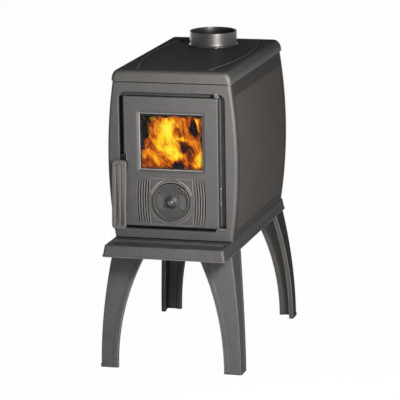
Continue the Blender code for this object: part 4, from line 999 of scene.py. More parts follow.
@dataclass
class Legs:
    """Four splayed legs of L section with raised borders."""

    foot: Flat = (0.1624, -0.241)
    rear_foot: float = 0.285
    splay: float = 0.025
    splay_power: float = 1.9
    foot_width: float = 0.0405
    top_width: float = 0.080
    side_width: float = 0.075
    curve_power: float = 2.3
    wall: float = 0.007
    border: float = 0.010
    raise_by: float = 0.0012
    lip: float = 0.003
    foot_band: float = 0.007
    corner: float = 0.004
    steps: int = 30
    soft: float = 0.0012
    gusset: float = 0.050
    gusset_height: float = 0.008
    boss: Flat = (0.009, 0.035)
    boss_top: float = 0.2827

    def corner_at(self, side: int, end: int, z: float) -> Flat:
        """Return the plan position of the outer corner at a height."""
        inset = self.splay * (z / LAYOUT.leg_height) ** self.splay_power
        y = self.rear_foot - inset if end > 0 else self.foot[1] + inset
        return side * (self.foot[0] - inset), y

    def section(self, side: int, end: int, z: float, sunk: float) -> Ring:
        """Return the leg's outline at a height.

        Args:
            side: Sign of x.
            end: Sign of y.
            z: Height.
            sunk: How far the face lies behind the border.

        Returns:
            World points.
        """
        x, y = self.corner_at(side, end, z)
        share = min(z / LAYOUT.leg_height, 1.0) ** self.curve_power
        width = self.foot_width + (self.top_width - self.foot_width) * share
        depth = self.foot_width + (self.side_width - self.foot_width) * share
        lip = self.wall + self.lip
        edge = width - self.border
        side_edge = depth - self.border
        r = self.corner
        points = [(sunk + r, sunk), (edge - self.soft, sunk), (edge, 0), (width, 0), (width, lip), (edge, lip),
                  (edge - self.lip, self.wall), (self.wall, self.wall), (self.wall, side_edge - self.lip),
                  (lip, side_edge), (lip, depth), (0, depth), (0, side_edge), (sunk, side_edge - self.soft),
                  (sunk, sunk + r)]
        points += [(sunk + r - r * math.cos(a), sunk + r - r * math.sin(a)) for a in spread(0, math.pi / 2, 5)[1:-1]]
        return [(x - side * u, y - end * v, z) for u, v in points]

    def build(self, finishes: Finishes) -> None:
        """Make the four legs."""
        names = (("front_left", -1, -1), ("front_right", 1, -1), ("rear_left", -1, 1), ("rear_right", 1, 1))
        top = LAYOUT.leg_height - LAYOUT.gap
        for name, side, end in names:
            rings = [self.section(side, end, z, 0.0) for z in (0.0, self.foot_band)]
            rings += [self.section(side, end, z, self.raise_by)
                      for z in spread(self.foot_band + self.soft, top, self.steps)]
            # Rear legs take the shaded copy of the iron: painted shade.
            surface = finishes.rear if end > 0 else finishes.iron
            piece = Casting(f"leg_casting_{name}", Solid.loft(rings), Body.STOVE, Slot.IRON, surface,
                            (f"leg_{name}",), edge=0.0006, sharp=35)
            piece.fuse(*self.pad(side, end)).make()

    def pad(self, side: int, end: int) -> list[Solid]:
        """Return the gusset and the boss that the leg is bolted by."""
        x, y = self.corner_at(side, end, LAYOUT.leg_height)
        start, reach = self.wall / 2, self.gusset
        gusset = [(x - side * u, y - end * v) for u, v in ((start, start), (reach, start), (start, reach))]
        near, far = self.boss
        boss_x = sorted((x - side * near, x - side * far))
        boss_y = sorted((y - end * near, y - end * far))
        low = LAYOUT.leg_height - self.gusset_height
        return [Solid.prism(gusset, Axis.Z, low, LAYOUT.leg_height - 2 * LAYOUT.gap),
                Solid.box((boss_x[0], boss_x[1]), (boss_y[0], boss_y[1]), (low + 0.004, self.boss_top))]


@dataclass
class HearthTray:
    """The tray that the body stands on, with an ash dish in front."""

    half: float = 0.1355
    front: float = -0.2801
    back: float = 0.264
    flare: float = 0.0037
    bead: float = 0.0012
    bead_height: float = 0.003
    edge_round: float = 0.0028
    dish_depth: float = 0.005
    dish_back: float = -0.222
    rim: float = 0.007
    wall: float = 0.005
    plate: float = 0.006
    dish_slope: float = 0.004
    corner: float = 0.006
    dish_corner: float = 0.010
    soft: float = 0.0006

    def ring(self, offset: float, z: float) -> Ring:
        """Return the tray's outline at a height, drawn out by an offset."""
        middle = (0.0, (self.front + self.back) / 2)
        half = grown((self.half, (self.back - self.front) / 2), offset)
        return Axis.Z.ring(rounded_rect(middle, half, self.corner + offset * 0.5), z)

    def dish_ring(self, offset: float, z: float) -> Ring:
        """Return the dish's outline at a height."""
        front = self.front + self.rim
        middle = (0.0, (front + self.dish_back) / 2)
        half = grown((self.half - self.rim, (self.dish_back - front) / 2), offset)
        return Axis.Z.ring(rounded_rect(middle, half, self.dish_corner + offset, 8), z)

    def build(self, finishes: Finishes) -> None:
        """Make the tray."""
        low = LAYOUT.leg_height
        top = LAYOUT.tray_top
        out, soft, bead_top = self.flare + self.bead, self.soft, low + self.bead_height
        rings = [self.ring(out - soft, low), self.ring(out, low + soft), self.ring(out, bead_top),
                 self.ring(out - soft, bead_top + soft), self.ring(self.flare - 0.0002, bead_top + 0.0014)]
        rings += [self.ring(-drawn, top - set_back) for set_back, drawn in quarter_round(self.edge_round, 5)]
        piece = Casting("hearth_tray_casting", Solid.loft(rings), Body.STOVE, Slot.IRON, finishes.iron,
                        ("hearth_tray",), edge=0.0005, sharp=40)
        under, below = top - self.plate, low - 0.005
        inner = self.half - self.wall
        piece.cut(Solid.box((-inner, inner), (self.dish_back, self.back - self.wall), (below, under)))
        piece.cut(Solid.box((-inner, inner), (self.front + self.wall, self.dish_back + self.wall),
                            (below, under - self.dish_depth)))
        slope, deep = self.dish_slope, top - self.dish_depth
        dish = ((-slope - 0.001, deep), (-slope, deep + 0.0004), (-slope + 0.001, deep + 0.0012),
                (-0.0008, top - 0.0012), (0.0, top - 0.0003), (0.0006, top + 0.0003))
        piece.cut(Solid.loft([self.dish_ring(offset, z) for offset, z in dish]))
        piece.make()


def chamfer(front: float, level: float, size: float, up: int) -> Solid:
    """Return a cutter that breaks a long edge at the front.

    Args:
        front: Front face of the piece.
        level: Height of the edge.
        size: Width of the broken edge.
        up: Whether the piece lies above (1) or below (-1) the edge.

    Returns:
        The cutter.
    """
    edge = level + up * LAYOUT.gap
    reach = size + 0.001
    y, z = front - 0.001, edge - up * 0.001
    return Solid.prism([(y, z), (front + reach, z), (y, edge + up * reach)], Axis.X, -0.2, 0.2)


@dataclass
class Walls:
    """The four bowed wall castings."""

    corner: float = 0.008
    corner_depth: float = 0.012
    steps: int = 28
    lip: float = 0.0030
    draft: float = 0.0018
    tub: float = 0.0055
    recess_round: float = 0.014
    fire_half: Flat = (0.088, 0.125)
    side_recess: float = 0.0008
    top_border: float = 0.0225
    bottom_border: float = 0.016
    end_border: float = 0.008
    keeper_width: float = 0.009
    broken: float = 0.0014
    rear_soft: float = 0.0016
    side_soft: float = 0.0026
    ridge_pitch: Flat = (0.0037, 0.0074)
    ridge_height: float = 0.0011

    def ring(self, y: float, inset_x: float, inset_z: float) -> Ring:
        """Return the bowed body outline at y, drawn in by the insets."""
        low = LAYOUT.tray_top + LAYOUT.gap + inset_z
        heights = spread(low, LAYOUT.body_top - inset_z, self.steps)
        right = [(LAYOUT.half_width(z) - inset_x, y, z) for z in heights]
        return right + [(-x, level, z) for x, level, z in reversed(right)]

    def pan(self, face: float, inward: int) -> Solid:
        """Return an end wall: a plate with rounded upright corners and a rim that faces the body."""
        wall, deep, soft = LAYOUT.wall, self.corner_depth, self.rear_soft
        stations = [(wall, wall + 0.002, wall), (deep, wall, wall), (deep, soft, 0.0), (deep - soft, 0.0, 0.0)]
        stations += [(back, drawn, 0.0) for back, drawn in quarter_round(self.corner, 8)]
        return Solid.loft([self.ring(face + inward * back, inset_x, inset_z) for back, inset_x, inset_z in stations])

    def recess_ring(self, offset: float, y: float) -> Ring:
        """Return the door recess outline at y, drawn out by an offset."""
        middle = (0.0, (LAYOUT.recess_low + LAYOUT.recess_high) / 2)
        half = grown((LAYOUT.recess_half, (LAYOUT.recess_high - LAYOUT.recess_low) / 2), offset)
        return Axis.Y.ring(rounded_rect(middle, half, self.recess_round + offset, 10), y)

    def build_front(self, finishes: Finishes) -> None:
        """Make the front wall with its recess, lugs and latch keeper."""
        front = LAYOUT.front
        piece = Casting("front_wall_casting", self.pan(front, 1), Body.STOVE, Slot.IRON, finishes.wall,
                        ("front_plate",), edge=0.0006, sharp=38)
        piece.fuse(Solid.loft([self.recess_ring(self.tub, front + LAYOUT.wall / 2),
                               self.recess_ring(self.tub, LAYOUT.land_back)]))
        lips = [self.recess_ring(self.lip + 0.001, front - 0.001)]
        lips += [self.recess_ring(self.lip - self.lip * math.sin(a), front + self.lip * (1 - math.cos(a)))
                 for a in spread(0, math.pi / 2, 5)]
        lips.append(self.recess_ring(-self.draft, LAYOUT.land))
        piece.cut(Solid.loft(lips))
        middle = (0.0, LAYOUT.door_middle[1])
        piece.cut(Solid.prism(rounded_rect(middle, self.fire_half, 0.010), Axis.Y, front + 0.008, front + 0.026))
        piece.fuse(*self.lugs())
        piece.cut(chamfer(front, LAYOUT.body_top, self.broken, -1), chamfer(front, LAYOUT.tray_top, self.broken, 1))
        piece.make()

    def lugs(self) -> list[Solid]:
        """Return the two hinge lugs and the latch keeper."""
        near, far = LAYOUT.front + 0.00015, LAYOUT.land + 0.0025
        x = LAYOUT.hinge_x
        root = LAYOUT.recess_half + self.lip
        lower = [(x - 0.0048, near), (root, near), (root, far), (x - 0.0068, far), (x - 0.0068, near + 0.002)]
        upper = [(x - 0.0044, near), (x + 0.0029, near), (x + 0.0044, near + 0.0015), (x + 0.0044, far),
                 (x - 0.0044, far)]
        lip = LAYOUT.pivot_y + 0.0065
        arm = LAYOUT.pivot_z + 0.006
        low = LAYOUT.pivot_z - 0.002
        keeper = [(lip, low), (lip + 0.003, low), (lip + 0.003, arm), (far, arm), (far, arm + 0.009),
                  (lip, arm + 0.009)]
        wall = -LAYOUT.recess_half
        return [Solid.prism(lower, Axis.Z, LAYOUT.recess_low - 0.0044, LAYOUT.door_low - 0.0008),
                Solid.prism(upper, Axis.Z, LAYOUT.door_high + 0.0008, LAYOUT.recess_high + 0.0044),
                Solid.prism(keeper, Axis.X, wall - 0.00275, wall + self.keeper_width)]

    def build_back(self, finishes: Finishes) -> None:
        """Make the rear wall."""
        Casting("rear_wall_casting", self.pan(LAYOUT.back, -1), Body.STOVE, Slot.IRON, finishes.iron,
                ("back_plate",), edge=0.0006, sharp=38).make()

    def build_side(self, side: int, finishes: Finishes) -> None:
        """Make one side wall and its field of fine ridges.

        Args:
            side: Sign of x.
            finishes: The stove's materials.
        """
        label = "left" if side < 0 else "right"
        low = LAYOUT.tray_top + self.bottom_border
        high = LAYOUT.body_top - self.top_border
        ramp, soft = 2 * self.side_recess, self.side_soft
        heights = [LAYOUT.tray_top + LAYOUT.gap, low, *spread(low + ramp, high - ramp, self.steps), high,
                   LAYOUT.body_top]
        front = LAYOUT.front + self.corner_depth + LAYOUT.gap
        back = LAYOUT.back - self.corner_depth - LAYOUT.gap
        start, stop = front + self.end_border, back - self.end_border
        stations = ((front, soft, 0.0), (front + soft, 0.0, 0.0), (start, 0.0, 0.0),
                    (start + ramp, 0.0, self.side_recess), (stop - ramp, 0.0, self.side_recess),
                    (stop, 0.0, 0.0), (back - soft, 0.0, 0.0), (back, soft, 0.0))
        rings: list[Ring] = []
        for y, drawn, depth in stations:
            outer = [(side * (LAYOUT.half_width(z) - drawn - (depth if low < z < high else 0.0)), y, z)
                     for z in heights]
            inner = [(side * (LAYOUT.half_width(z) - LAYOUT.wall), y, z) for z in reversed(heights)]
            rings.append(outer + inner)
        # The side wall takes the darker copy of the iron: painted shade.
        Casting(f"side_wall_casting_{label}", Solid.loft(rings), Body.STOVE, Slot.IRON, finishes.side,
                (f"side_plate_{label}",), edge=0.0004, sharp=50).make()
        self.ridge_field(side, label, (start + 0.003, stop - 0.003), (low + 0.003, high - 0.003), finishes)

    def ridge_field(self, side: int, label: str, y_span: Flat, z_span: Flat, finishes: Finishes) -> None:
        """Cover the sunk field with staggered upright ridges.

        Args:
            side: Sign of x.
            label: Name of the side.
            y_span: Field from front to back.
            z_span: Field from bottom to top.
            finishes: The stove's materials.
        """
        pitch_y, pitch_z = self.ridge_pitch
        columns = int((y_span[1] - y_span[0]) / pitch_y)
        rows = int((z_span[1] - z_span[0]) / pitch_z)
        points, normals = [], []
        for column in range(columns + 1):
            y = y_span[0] + (y_span[1] - y_span[0]) * column / columns
            for row in range(rows):
                z = z_span[0] + pitch_z * (row + 0.5 + 0.5 * (column % 2))
                if z > z_span[1] - pitch_z * 0.4:
                    continue
                slope = (LAYOUT.half_width(z + 0.001) - LAYOUT.half_width(z - 0.001)) / 0.002
                points.append((side * (LAYOUT.half_width(z) - self.side_recess - 0.0001), y, z))
                normals.append(Vector((side, 0, -slope)).normalized())
        cloud = point_cloud(f"side_ridges_{label}", points, normals)
        growth = Growth("upright_ridges", {"Width": 0.0022, "Length": 0.0066, "Height": 0.0006})
        stud = growth.add("GeometryNodeMeshIcoSphere", {}, {"Radius": 0.5, "Subdivisions": 1})
        turn = growth.upright(growth.facing(), (0.0, 0.0, 1.0))
        # The ridges take the side walls' darker copy of the iron: painted shade.
        growth.finish(growth.scatter(stud, turn, growth.triple("Width", "Length", "Height")), finishes.side)
        growth.grow(cloud, {"Width": pitch_y * 0.62, "Length": pitch_z * 0.92, "Height": self.ridge_height})
        cloud.data.shade_smooth()
        settle(cloud, Body.STOVE, Slot.IRON, finishes.side)


@dataclass
class Crown:
    """The top plate with its beads, and the flue collar."""

    half: float = 0.136
    front: float = -0.203
    back: float = 0.258
    roll: Flat = (0.018, 0.023)
    front_round: float = 0.009
    plate: float = 0.008
    rim: float = 0.010
    bead_x: float = 0.110
    bead_bow: float = 0.032
    bead_middle: float = 0.045
    bead_reach: float = 0.227
    bead_width: float = 0.0030
    bead_height: float = 0.0012
    flue: Flat = (0.0, 0.158)
    bore: float = 0.050
    collar_wall: float = 0.004
    collar_foot: float = 0.0572
    flange: float = 0.002
    flare: float = 0.008
    collar_top: float = 0.700
    seat: float = 0.0005
    rod_front: Flat = (0.118, -0.1735)
    rod_back: Flat = (0.092, 0.238)
    rod_boss: Flat = (0.009, 0.014)

    def section(self, y: float, inset: float) -> Ring:
        """Return the plate's outline at y, drawn in by an inset."""
        side, top = self.half - inset, LAYOUT.top_surface - inset
        low = LAYOUT.body_top + LAYOUT.gap
        width, height = self.roll[0] - inset / 2, min(self.roll[1], top - low - 0.0020)
        right = [(side - 0.0014, low), (side, low + 0.0014)]
        right += [(side - width * (1 - math.cos(a)), top - height * (1 - math.sin(a)))
                  for a in spread(0, math.pi / 2, 14)]
        return Axis.Y.ring(right + [(-x, z) for x, z in reversed(right)], y)

    def bead(self, side: int) -> Solid:
        """Return one bowed bead, hooked outwards at its front end."""
        front = self.front + self.front_round + 0.012
        stations = [(self.bead_x - self.bead_bow * ((y - self.bead_middle) / self.bead_reach) ** 2, y)
                    for y in spread(front + 0.006, self.back - 0.018, 40)]
        x, y = stations[0]
        hook = [(x + 0.010, y - 0.0042), (x + 0.006, y - 0.0050), (x + 0.002, y - 0.0032)]
        path = [Vector((side * px, py, 0)) for px, py in hook + stations]
        top = LAYOUT.top_surface
        rings: list[Ring] = []
        for i, at in enumerate(path):
            ahead = (path[min(i + 1, len(path) - 1)] - path[max(i - 1, 0)]).normalized()
            across = Vector((-ahead.y, ahead.x, 0)) * self.bead_width / 2
            fade = min(1.0, (i + 1) / 3, (len(path) - i) / 3)
            ring = []
            for a in spread(0, math.pi, 6):
                offset = across * math.cos(a)
                ring.append((at.x + offset.x, at.y + offset.y, top + self.bead_height * fade * math.sin(a)))
            low = across * 0.9
            ring += [(at.x - low.x, at.y - low.y, top - 0.001), (at.x + low.x, at.y + low.y, top - 0.001)]
            rings.append(ring)
        return Solid.loft(rings)

    def build(self, finishes: Finishes) -> None:
        """Make the top plate and the collar."""
        rings = [self.section(self.front + self.front_round * (1 - math.cos(a)),
                              self.front_round * (1 - math.sin(a))) for a in spread(0, math.pi / 2, 10)]
        rings += [self.section(self.back - 0.0008, 0.0), self.section(self.back, 0.0006)]
        piece = Casting("top_plate_casting", Solid.loft(rings), Body.STOVE, Slot.IRON, finishes.crown,
                        ("top_plate",), edge=0.0006, sharp=40)
        under = LAYOUT.top_surface - self.plate
        inner = self.half - self.rim
        piece.cut(Solid.box((-inner, inner), (self.front + self.rim, self.back - self.rim),
                            (LAYOUT.body_top - 0.010, under)))
        top = LAYOUT.top_surface
        piece.cut(Solid.rod(self.flue, Axis.Z, self.bore, under - 0.001, top + 0.001, 96))
        piece.cut(Solid.rod(self.flue, Axis.Z, self.collar_foot + LAYOUT.gap, top - self.seat, top + 0.003, 96))
        piece.cut(chamfer(self.front, LAYOUT.body_top, 0.0017, 1))
        piece.fuse(self.bead(-1), self.bead(1))
        radius, drop = self.rod_boss
        piece.fuse(*(Solid.rod((side * x, y), Axis.Z, radius, under - drop, under + 0.004)
                     for x, y in (self.rod_front, self.rod_back) for side in (-1, 1)))
        piece.make()
        self.build_collar(finishes)

    def build_collar(self, finishes: Finishes) -> None:
        """Make the flue collar."""
        seat = LAYOUT.top_surface - self.seat + LAYOUT.gap
        outer = self.bore + self.collar_wall
        foot, reach = seat + self.flange, self.collar_foot - outer
        profile = [(self.collar_foot, seat), (self.collar_foot, foot)]
        profile += [(self.collar_foot - reach * math.sin(a), foot + self.flare * (1 - math.cos(a)))
                    for a in spread(0.12, math.pi / 2, 9)]
        top = self.collar_top
        profile += [(outer, top - 0.0016), (outer - 0.0004, top - 0.0006), (outer - 0.0014, top),
                    (self.bore + 0.0012, top), (self.bore + 0.0003, top - 0.0005), (self.bore, top - 0.0014),
                    (self.bore, seat)]
        Casting("flue_collar_casting", Solid.turned(profile, self.flue, Axis.Z, 96, bored=True), Body.STOVE,
                Slot.IRON, finishes.collar, ("flue_collar",), edge=0.0, sharp=40).make()


@dataclass
class Door:
    """The door casting, its glass, its seal and its small fixings."""

    rim: float = 0.018
    edge_round: float = 0.0022
    corner: float = 0.003
    window_half: float = 0.071
    window_z: Flat = (0.4465, 0.5700)
    bevel: float = 0.008
    lintel_bevel: float = 0.010
    sill_bow: float = 0.003
    pattern_half: float = 0.0505
    rib_count: int = 5
    rib_first: float = 0.0505
    rib_pitch: float = 0.0057
    rib_width: float = 0.0030
    rib_depth: float = 0.0028
    rib_bow: float = 0.0036
    pocket_half: float = 0.0476
    pocket_radius: float = 0.0520
    pocket_depth: float = 0.0016
    vent: Flat = (0.0165, 0.0365)
    vent_angle: float = 36.0
    vent_corner: float = 0.003
    moat: Flat = (0.0411, 0.0434)
    moat_depth: float = 0.0030
    seal_inset: float = 0.012
    seal_width: float = 0.008
    seal_round: float = 0.010
    notch: Flat = (0.036, 0.021)
    boss_half: float = 0.005
    boss_face: float = -0.193
    screw_face: float = -0.1904
    screw_inset: float = 0.0065
    screw_rise: float = 0.0395
    deflector_half: float = 0.054
    rung_radius: float = 0.0470
    pane: Flat = (-0.1969, -0.1930)
    pane_lap: float = 0.005

    def ring(self, offset: float, y: float) -> Ring:
        """Return the door's outline at y, drawn out by an offset."""
        half = grown(LAYOUT.door_half, offset)
        return Axis.Y.ring(rounded_rect(LAYOUT.door_middle, half, self.corner + offset * 0.5, 4), y)

    def window_ring(self, offset: float, bow: float, y: float) -> Ring:
        """Return the window's outline at y, with its sill bowed down."""
        half = self.window_half + offset
        x = LAYOUT.door_x
        low, high = self.window_z[0] - offset, self.window_z[1] + offset * self.lintel_bevel / self.bevel
        r = 0.0015 + max(offset, 0) * 0.15
        points = [(x + u, low - bow * (1 - (u / half) ** 2)) for u in spread(-half + r, half - r, 20)]
        points += arc((x + half - r, low + r), r, -70, 0, 3) + arc((x + half - r, high - r), r, 0, 90, 4)
        points += arc((x - half + r, high - r), r, 90, 180, 4) + arc((x - half + r, low + r), r, 180, 250, 3)
        return Axis.Y.ring(points, y)

    def rib(self, side: int, index: int) -> Solid:
        """Return one bowed groove with a round bottom."""
        start, half = self.rib_first + index * self.rib_pitch, self.rib_width / 2
        face = LAYOUT.door_face
        rings: list[Ring] = []
        for z in spread(-self.pattern_half, self.pattern_half, 16):
            middle = LAYOUT.door_x + side * (start + self.rib_bow * (1 - (z / self.pattern_half) ** 2))
            end = 1.0 - 0.75 * max(0.0, abs(z) / self.pattern_half - 0.96) / 0.04
            section = [(middle + half * u, face + self.rib_depth * end * (1 - u * u)) for u in spread(-1.0, 1.0, 6)]
            section += [(middle + half, face - 0.001), (middle - half, face - 0.001)]
            rings.append(Axis.Z.ring(section, LAYOUT.disc_z + z))
        return Solid.loft(rings)

    def pocket(self, across: int, up: int) -> Solid:
        """Return one sunk corner pocket, hollowed by the disc's circle."""
        start = math.degrees(math.acos(self.pocket_half / self.pocket_radius))
        end = math.degrees(math.asin(self.pattern_half / self.pocket_radius))
        points = arc((0, 0), self.pocket_radius, start, end, 12) + [(self.pocket_half, self.pattern_half)]
        outline = [(LAYOUT.door_x + across * x, LAYOUT.disc_z + up * z) for x, z in points]
        return Solid.prism(outline, Axis.Y, LAYOUT.door_face - 0.001, LAYOUT.door_face + self.pocket_depth)

    def sector(self, middle: float, half_angle: float, front: float, back: float) -> Solid:
        """Return one air passage with rounded corners: a ring sector about the disc's axis."""
        center = LAYOUT.disc_center
        inner, outer = self.vent
        start, stop = middle - half_angle, middle + half_angle
        corner, shoulder = outer - self.vent_corner, outer - 0.3 * self.vent_corner
        soft = math.degrees(self.vent_corner / outer)
        outline = [*arc(center, inner, stop, start, 12), on_circle(center, corner, start),
                   on_circle(center, shoulder, start + soft * 0.3),
                   *arc(center, outer, start + soft, stop - soft, 18),
                   on_circle(center, shoulder, stop - soft * 0.3), on_circle(center, corner, stop)]
        return Solid.prism(outline, Axis.Y, front, back)

    def build(self, finishes: Finishes) -> None:
        """Make the door and what is fixed to it."""
        face, back, inner = LAYOUT.door_face, LAYOUT.door_back, LAYOUT.door_inner
        rings = [self.ring(-0.0004, back), self.ring(0.0, back - 0.0004)]
        rings += [self.ring(-drawn, face + set_back) for set_back, drawn in quarter_round(self.edge_round, 6)]
        piece = Casting("door_casting", Solid.loft(rings), Body.DOOR, Slot.IRON, finishes.iron, ("door",),
                        edge=0.0004, sharp=42)
        middle, half, size = LAYOUT.door_middle, LAYOUT.door_half, self.boss_half
        piece.cut(Solid.prism(rounded_rect(middle, grown(half, -self.rim), 0.004), Axis.Y, inner, back + 0.001))
        bosses = [Solid.box((x - size, x + size), (inner - 0.0003, self.boss_face), (z - size, z + size))
                  for x, z in self.screw_places()]
        stud = Solid.turned([(0.0024, 0.369), (0.003, 0.3698), (0.003, 0.4082), (0.0024, 0.409)],
                            (LAYOUT.door_right + 0.001, back - 0.0039), Axis.Z, 24)
        piece.fuse(*bosses, stud)
        depth = inner - 0.0014 - face
        slope = self.bevel / depth
        bevel = [self.window_ring(self.bevel + slope * 0.001, self.sill_bow, face - 0.001)]
        bevel += [self.window_ring(self.bevel * (1 - t), self.sill_bow * (1 - t), face + depth * t)
                  for t in (0.0, 0.5, 1.0)]
        bevel.append(self.window_ring(0.0, 0.0, inner + 0.001))
        piece.cut(Solid.loft(bevel))
        reach = grown(half, -self.seal_inset)
        wide = self.seal_width / 2 + 0.0003
        outer, inside = (rounded_rect(middle, grown(reach, w), self.seal_round + w) for w in (wide, -wide))
        groove = Solid.band(outer, inside, Axis.Y, back - 0.004, back + 0.001)
        ribs = [self.rib(side, i) for side in (-1, 1) for i in range(self.rib_count)]
        pockets = [self.pocket(across, up) for across in (-1, 1) for up in (-1, 1)]
        vents = [self.sector(angle, self.vent_angle, face - 0.001, inner + 0.001) for angle in (90, 270)]
        near, far = self.moat
        over, deep = face - 0.001, face + self.moat_depth
        moat = Solid.turned([(near, over), (near, deep), (far, deep), (far, over)], LAYOUT.disc_center, Axis.Y, 96,
                            bored=True)
        piece.cut(groove, *ribs, *pockets, *vents, moat)
        below, above = self.notch
        piece.cut(Solid.box((LAYOUT.door_left - 0.001, LAYOUT.door_left + LAYOUT.latch_notch), (over, back + 0.001),
                            (LAYOUT.pivot_z - below, LAYOUT.pivot_z + above)))
        piece.fuse(*self.scale_arcs())
        piece.make()
        self.scale_ticks(finishes)
        self.rope(finishes)
        self.screws(finishes)
        self.glass(finishes)

    def scale_arcs(self) -> list[Solid]:
        """Return the raised double arcs beside the top of the disc."""
        center = LAYOUT.disc_center
        solids = []
        for start, end in ((20, 69), (111, 160)):
            for inner, outer, rise in ((0.0487, 0.0504, 0.0011), (0.0440, 0.0453, 0.0007)):
                outline = arc(center, outer, start, end, 20) + arc(center, inner, end, start, 20)
                solids.append(Solid.prism(outline, Axis.Y, LAYOUT.door_face - rise, LAYOUT.door_face + 0.0005))
        return solids

    def scale_ticks(self, finishes: Finishes) -> None:
        """Make the rungs between the raised arcs."""
        angles = [angle for start in (21.0, 137.0) for angle in spread(start, start + 22, 8)]
        points = Axis.Y.ring([on_circle(LAYOUT.disc_center, self.rung_radius, a) for a in angles], LAYOUT.door_face)
        normals = Axis.Y.ring([on_circle((0.0, 0.0), 1.0, a) for a in angles], 0.0)
        cloud = point_cloud("draught_scale_rungs", points, normals)
        growth = Growth("rungs", {"Length": 0.005, "Thickness": 0.0008, "Height": 0.001})
        bar = growth.add("GeometryNodeMeshCylinder", {"fill_type": "TRIANGLE_FAN"},
                         {"Vertices": 8, "Radius": 0.5, "Depth": 1.0})
        size = growth.triple("Thickness", "Height", "Length")
        growth.finish(growth.scatter(bar, growth.facing(), size), finishes.iron)
        growth.grow(cloud, {"Length": 0.0036, "Thickness": 0.0010, "Height": 0.0012})
        settle(cloud, Body.DOOR, Slot.IRON, finishes.iron)

    def screw_places(self) -> list[Flat]:
        """Return x and z of the four glass screws and the two deflector screws."""
        half = LAYOUT.door_half[0] - self.rim - self.screw_inset
        middle = sum(self.window_z) / 2
        places = [(LAYOUT.door_x + side * half, middle + up * self.screw_rise) for side in (-1, 1) for up in (-1, 1)]
        return places + [(LAYOUT.door_x + side * self.deflector_half, LAYOUT.disc_z) for side in (-1, 1)]

    def screws(self, finishes: Finishes) -> None:
        """Make the slotted screws inside the door."""
        head = Solid.turned([(0.0022, -0.0072), (0.0022, 0.0), (0.0038, 0.0), (0.0038, 0.0009), (0.0034, 0.0016),
                             (0.0025, 0.0022), (0.0012, 0.0024)], (0.0, 0.0), Axis.Y, 20)
        sample = head.to_object("slotted_screw")
        slot = Solid.box((-0.005, 0.005), (0.0011, 0.004), (-0.0005, 0.0005)).to_object("screw_slot")
        combine(sample, "DIFFERENCE", slot)
        to_plain_mesh(sample)
        growth = Growth("screws", {"Size": 1.0})
        shape = growth.add("GeometryNodeObjectInfo", {}, {"Object": sample}, "Geometry")
        turn = growth.add("FunctionNodeRandomValue", {"data_type": "FLOAT_VECTOR"},
                          {0: (0.0, -1.2, 0.0), 1: (0.0, 1.2, 0.0), "Seed": 4})
        growth.finish(growth.scatter(shape, turn, growth.size("Size")), finishes.steel)
        points = Axis.Y.ring(self.screw_places(), self.screw_face)
        cloud = point_cloud("door_screws", points, [(0, 1, 0)] * len(points))
        growth.grow(cloud, {"Size": 1.0})
        discard(sample)
        discard(slot)
        names = [f"glass_screw_{side}_{level}" for side in ("left", "right") for level in ("lower", "upper")]
        names += [f"deflector_screw_{side}" for side in ("left", "right")]
        settle(cloud, Body.DOOR, Slot.STEEL, finishes.steel, names)

    def rope(self, finishes: Finishes) -> None:
        """Make the braided seal rope that lies in the door's groove."""
        path = rounded_rect(LAYOUT.door_middle, grown(LAYOUT.door_half, -self.seal_inset), self.seal_round, 8)
        mesh = bpy.data.meshes.new("door_seal_rope")
        y = (LAYOUT.door_back - 0.0037 + LAYOUT.land - 0.0003) / 2
        mesh.from_pydata(Axis.Y.ring(path, y), [(i, (i + 1) % len(path)) for i in range(len(path))], [])
        rope = add_object("door_seal_rope", mesh)
        growth = Growth("braid", {"Radius": 0.0038, "Pitch": 0.0034})
        line = growth.add("GeometryNodeMeshToCurve", {}, {"Mesh": growth.start.outputs["Geometry"]})
        even = growth.add("GeometryNodeResampleCurve", {"mode": "LENGTH"},
                          {"Curve": line, "Length": growth.size("Pitch")})
        circle = growth.add("GeometryNodeCurvePrimitiveCircle", {},
                            {"Resolution": 12, "Radius": growth.size("Radius")})
        parts = [growth.add("GeometryNodeCurveToMesh", {}, {"Curve": even, "Profile Curve": circle})]
        tangent = growth.add("GeometryNodeInputTangent")
        along = growth.add("FunctionNodeAlignRotationToVector", {"axis": "Z"}, {"Vector": tangent})
        face = growth.upright(along, (0.0, 1.0, 0.0))
        strand = growth.add("GeometryNodeMeshUVSphere", {}, {"Segments": 8, "Rings": 5, "Radius": 1.0})
        for side in (-1.0, 1.0):
            lean = growth.add("FunctionNodeRotateRotation", {"rotation_space": "LOCAL"},
                              {"Rotation": face, "Rotate By": (0.0, 0.62 * side, 0.0)})
            placed = growth.scatter(strand, lean, (0.0013, 0.0009, 0.0030), even)
            parts.append(growth.add("GeometryNodeTranslateInstances", {}, {
                "Instances": placed, "Translation": (0.0016 * side, 0.0031, 0.0)}))
        growth.finish(self.join(growth, parts), finishes.rope)
        growth.grow(rope, {"Radius": 0.0038, "Pitch": 0.0036})
        rope.data.shade_smooth()
        settle(rope, Body.DOOR, Slot.ROPE, finishes.rope, ("door_seal",))

    @staticmethod
    def join(growth: Growth, parts: Sequence[bpy.types.NodeSocket]) -> bpy.types.NodeSocket:
        """Return several geometries as one."""
        node = growth.tree.nodes.new("GeometryNodeJoinGeometry")
        for part in parts:
            growth.tree.links.new(part, node.inputs["Geometry"])
        return node.outputs["Geometry"]

    def glass(self, finishes: Finishes) -> None:
        """Make the pane with softened edges."""
        level = sum(self.window_z) / 2
        half = grown((self.window_half, level - self.window_z[0]), self.pane_lap)
        outline = rounded_rect((LAYOUT.door_x, level), half, 0.002, 4)
        Casting("window_pane", Solid.prism(outline, Axis.Y, *self.pane), Body.DOOR, Slot.GLASS,
                finishes.glass, ("door_glass",), edge=0.0004).make()


